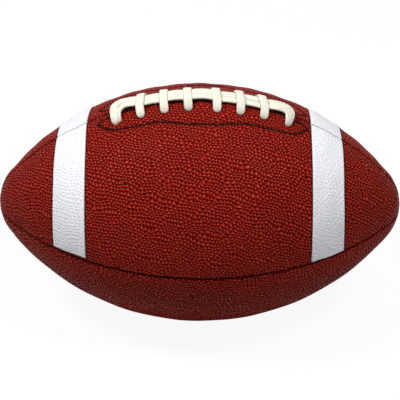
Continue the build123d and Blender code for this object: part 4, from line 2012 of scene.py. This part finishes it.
@dataclass(frozen=True)
class Studio:
    """The plain pale floor, the soft light and the camera."""

    form: BallForm
    camera: Camera = Camera()
    floor_rings: tuple[Pair, ...] = ((3.0, 0.0), (6.0, 0.0), (7.5, 0.3), (8.5, 1.0), (9.0, 2.4))
    floor_sides: int = 64
    floor_glow: float = 0.93
    paper: float = 0.42
    fade: Pair = (0.15, 0.6)
    sky: float = 0.1
    lamps: tuple[Lamp, ...] = (
        Lamp("key_lamp", -75.0, 57.0, 1.3, 0.35, 12.0),
        Lamp("fill_lamp", 56.0, 61.0, 1.3, 0.35, 9.2),
        Lamp("back_lamp", 180.0, 50.0, 1.5, 0.8, 2.6),
    )

    def floor_material(self) -> bpy.types.Material:
        """Make the floor, which shows white with a soft shadow and sends the light of grey paper back up.

        Returns:
            The new material.
        """
        bench = Finish("white_floor", {})
        bench.tree.nodes.remove(bench.shader)
        path = bench.add("ShaderNodeLightPath").outputs
        far = bench.add("ShaderNodeVectorMath", {0: bench.place()}, operation="LENGTH").outputs["Value"]
        mirrored = bench.sum("MAXIMUM", path["Is Glossy Ray"], path["Is Transmission Ray"])
        clear = bench.spread(far, 0.0, 1.0, self.fade)
        seen = bench.sum("MAXIMUM", path["Is Camera Ray"], bench.sum("MULTIPLY", mirrored, clear))
        shown = bench.sum("MAXIMUM", path["Is Camera Ray"], mirrored)
        grey = bench.blend(shown, (*(self.paper,) * 3, 1.0), WHITE)
        paper = bench.add("ShaderNodeBsdfDiffuse", {"Color": grey})
        white = bench.add("ShaderNodeEmission", {"Color": WHITE, "Strength": 1.0})
        share = bench.sum("MULTIPLY", seen, self.floor_glow)
        mixed = bench.add("ShaderNodeMixShader", {0: share, 1: paper.outputs[0], 2: white.outputs[0]})
        bench.connect(bench.tree.nodes["Material Output"], {"Surface": mixed.outputs[0]})
        return bench.material

    def floor_mesh(self, lowest: float) -> bpy.types.Mesh:
        """Make the floor, a wide disc whose rim rises into a backdrop on all sides.

        Args:
            lowest: Height of the floor's flat part.

        Returns:
            The floor's mesh.
        """
        angle = np.linspace(0, 2 * math.pi, self.floor_sides, endpoint=False)
        rings = []
        for reach, rise in self.floor_rings:
            height = np.full_like(angle, lowest + rise)
            rings.append(np.stack([reach * np.cos(angle), reach * np.sin(angle), height], axis=1))
        numbers = np.arange(len(rings) * self.floor_sides).reshape(len(rings), -1)
        faces = [tuple(numbers[0].tolist())] + grid_faces(numbers[::-1], closed=True)
        return smooth_mesh("floor", np.vstack(rings), faces)

    def build(self, lowest: float) -> None:
        """Set the studio up.

        Args:
            lowest: Height of the ball's lowest point, on which the floor lies.
        """
        floor = new_object("floor", self.floor_mesh(lowest))
        floor.data.materials.append(self.floor_material())
        floor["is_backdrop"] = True
        centre = Vector((0.0, 0.0, self.form.radius))
        for lamp in self.lamps:
            lamp.build(centre)
        self.camera.build(centre)
        world = bpy.data.worlds.new("white_sky")
        world.use_nodes = True
        bpy.context.scene.world = world
        sky = world.node_tree.nodes["Background"]
        sky.inputs["Color"].default_value = WHITE
        sky.inputs["Strength"].default_value = self.sky
        bpy.context.scene.view_settings.view_transform = "Standard"


def clear_scene() -> None:
    """Remove what a new Blender file starts with."""
    for item in list(bpy.data.objects):
        bpy.data.objects.remove(item)


def main() -> None:
    """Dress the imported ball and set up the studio."""
    logging.basicConfig(level=logging.INFO, format="%(name)s: %(message)s")
    clear_scene()
    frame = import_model()
    slots = {row["node"]: row["material_slot"] for row in frame["record"]["subparts"]}
    form = BallForm()
    lacing = Lacing(form)
    skin = BallSkin(form, lacing)
    dresser = Dresser(frame["nodes"])
    for quarter, label in enumerate(("front_upper", "front_lower", "rear_lower", "rear_upper")):
        Panel(label, quarter, skin, has_valve=label == "rear_lower").build(dresser)
    for end in End:
        for side in Side:
            Stripe(end, side, skin).build(dresser)
    for side in Side:
        FacingStitching(side, skin).build(dresser)
    Lace(lacing).build(dresser)
    InnerLayers(slots).build(dresser)
    visual_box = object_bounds()
    Studio(form).build(visual_box[0].z)


if __name__ == "__main__":
    main()
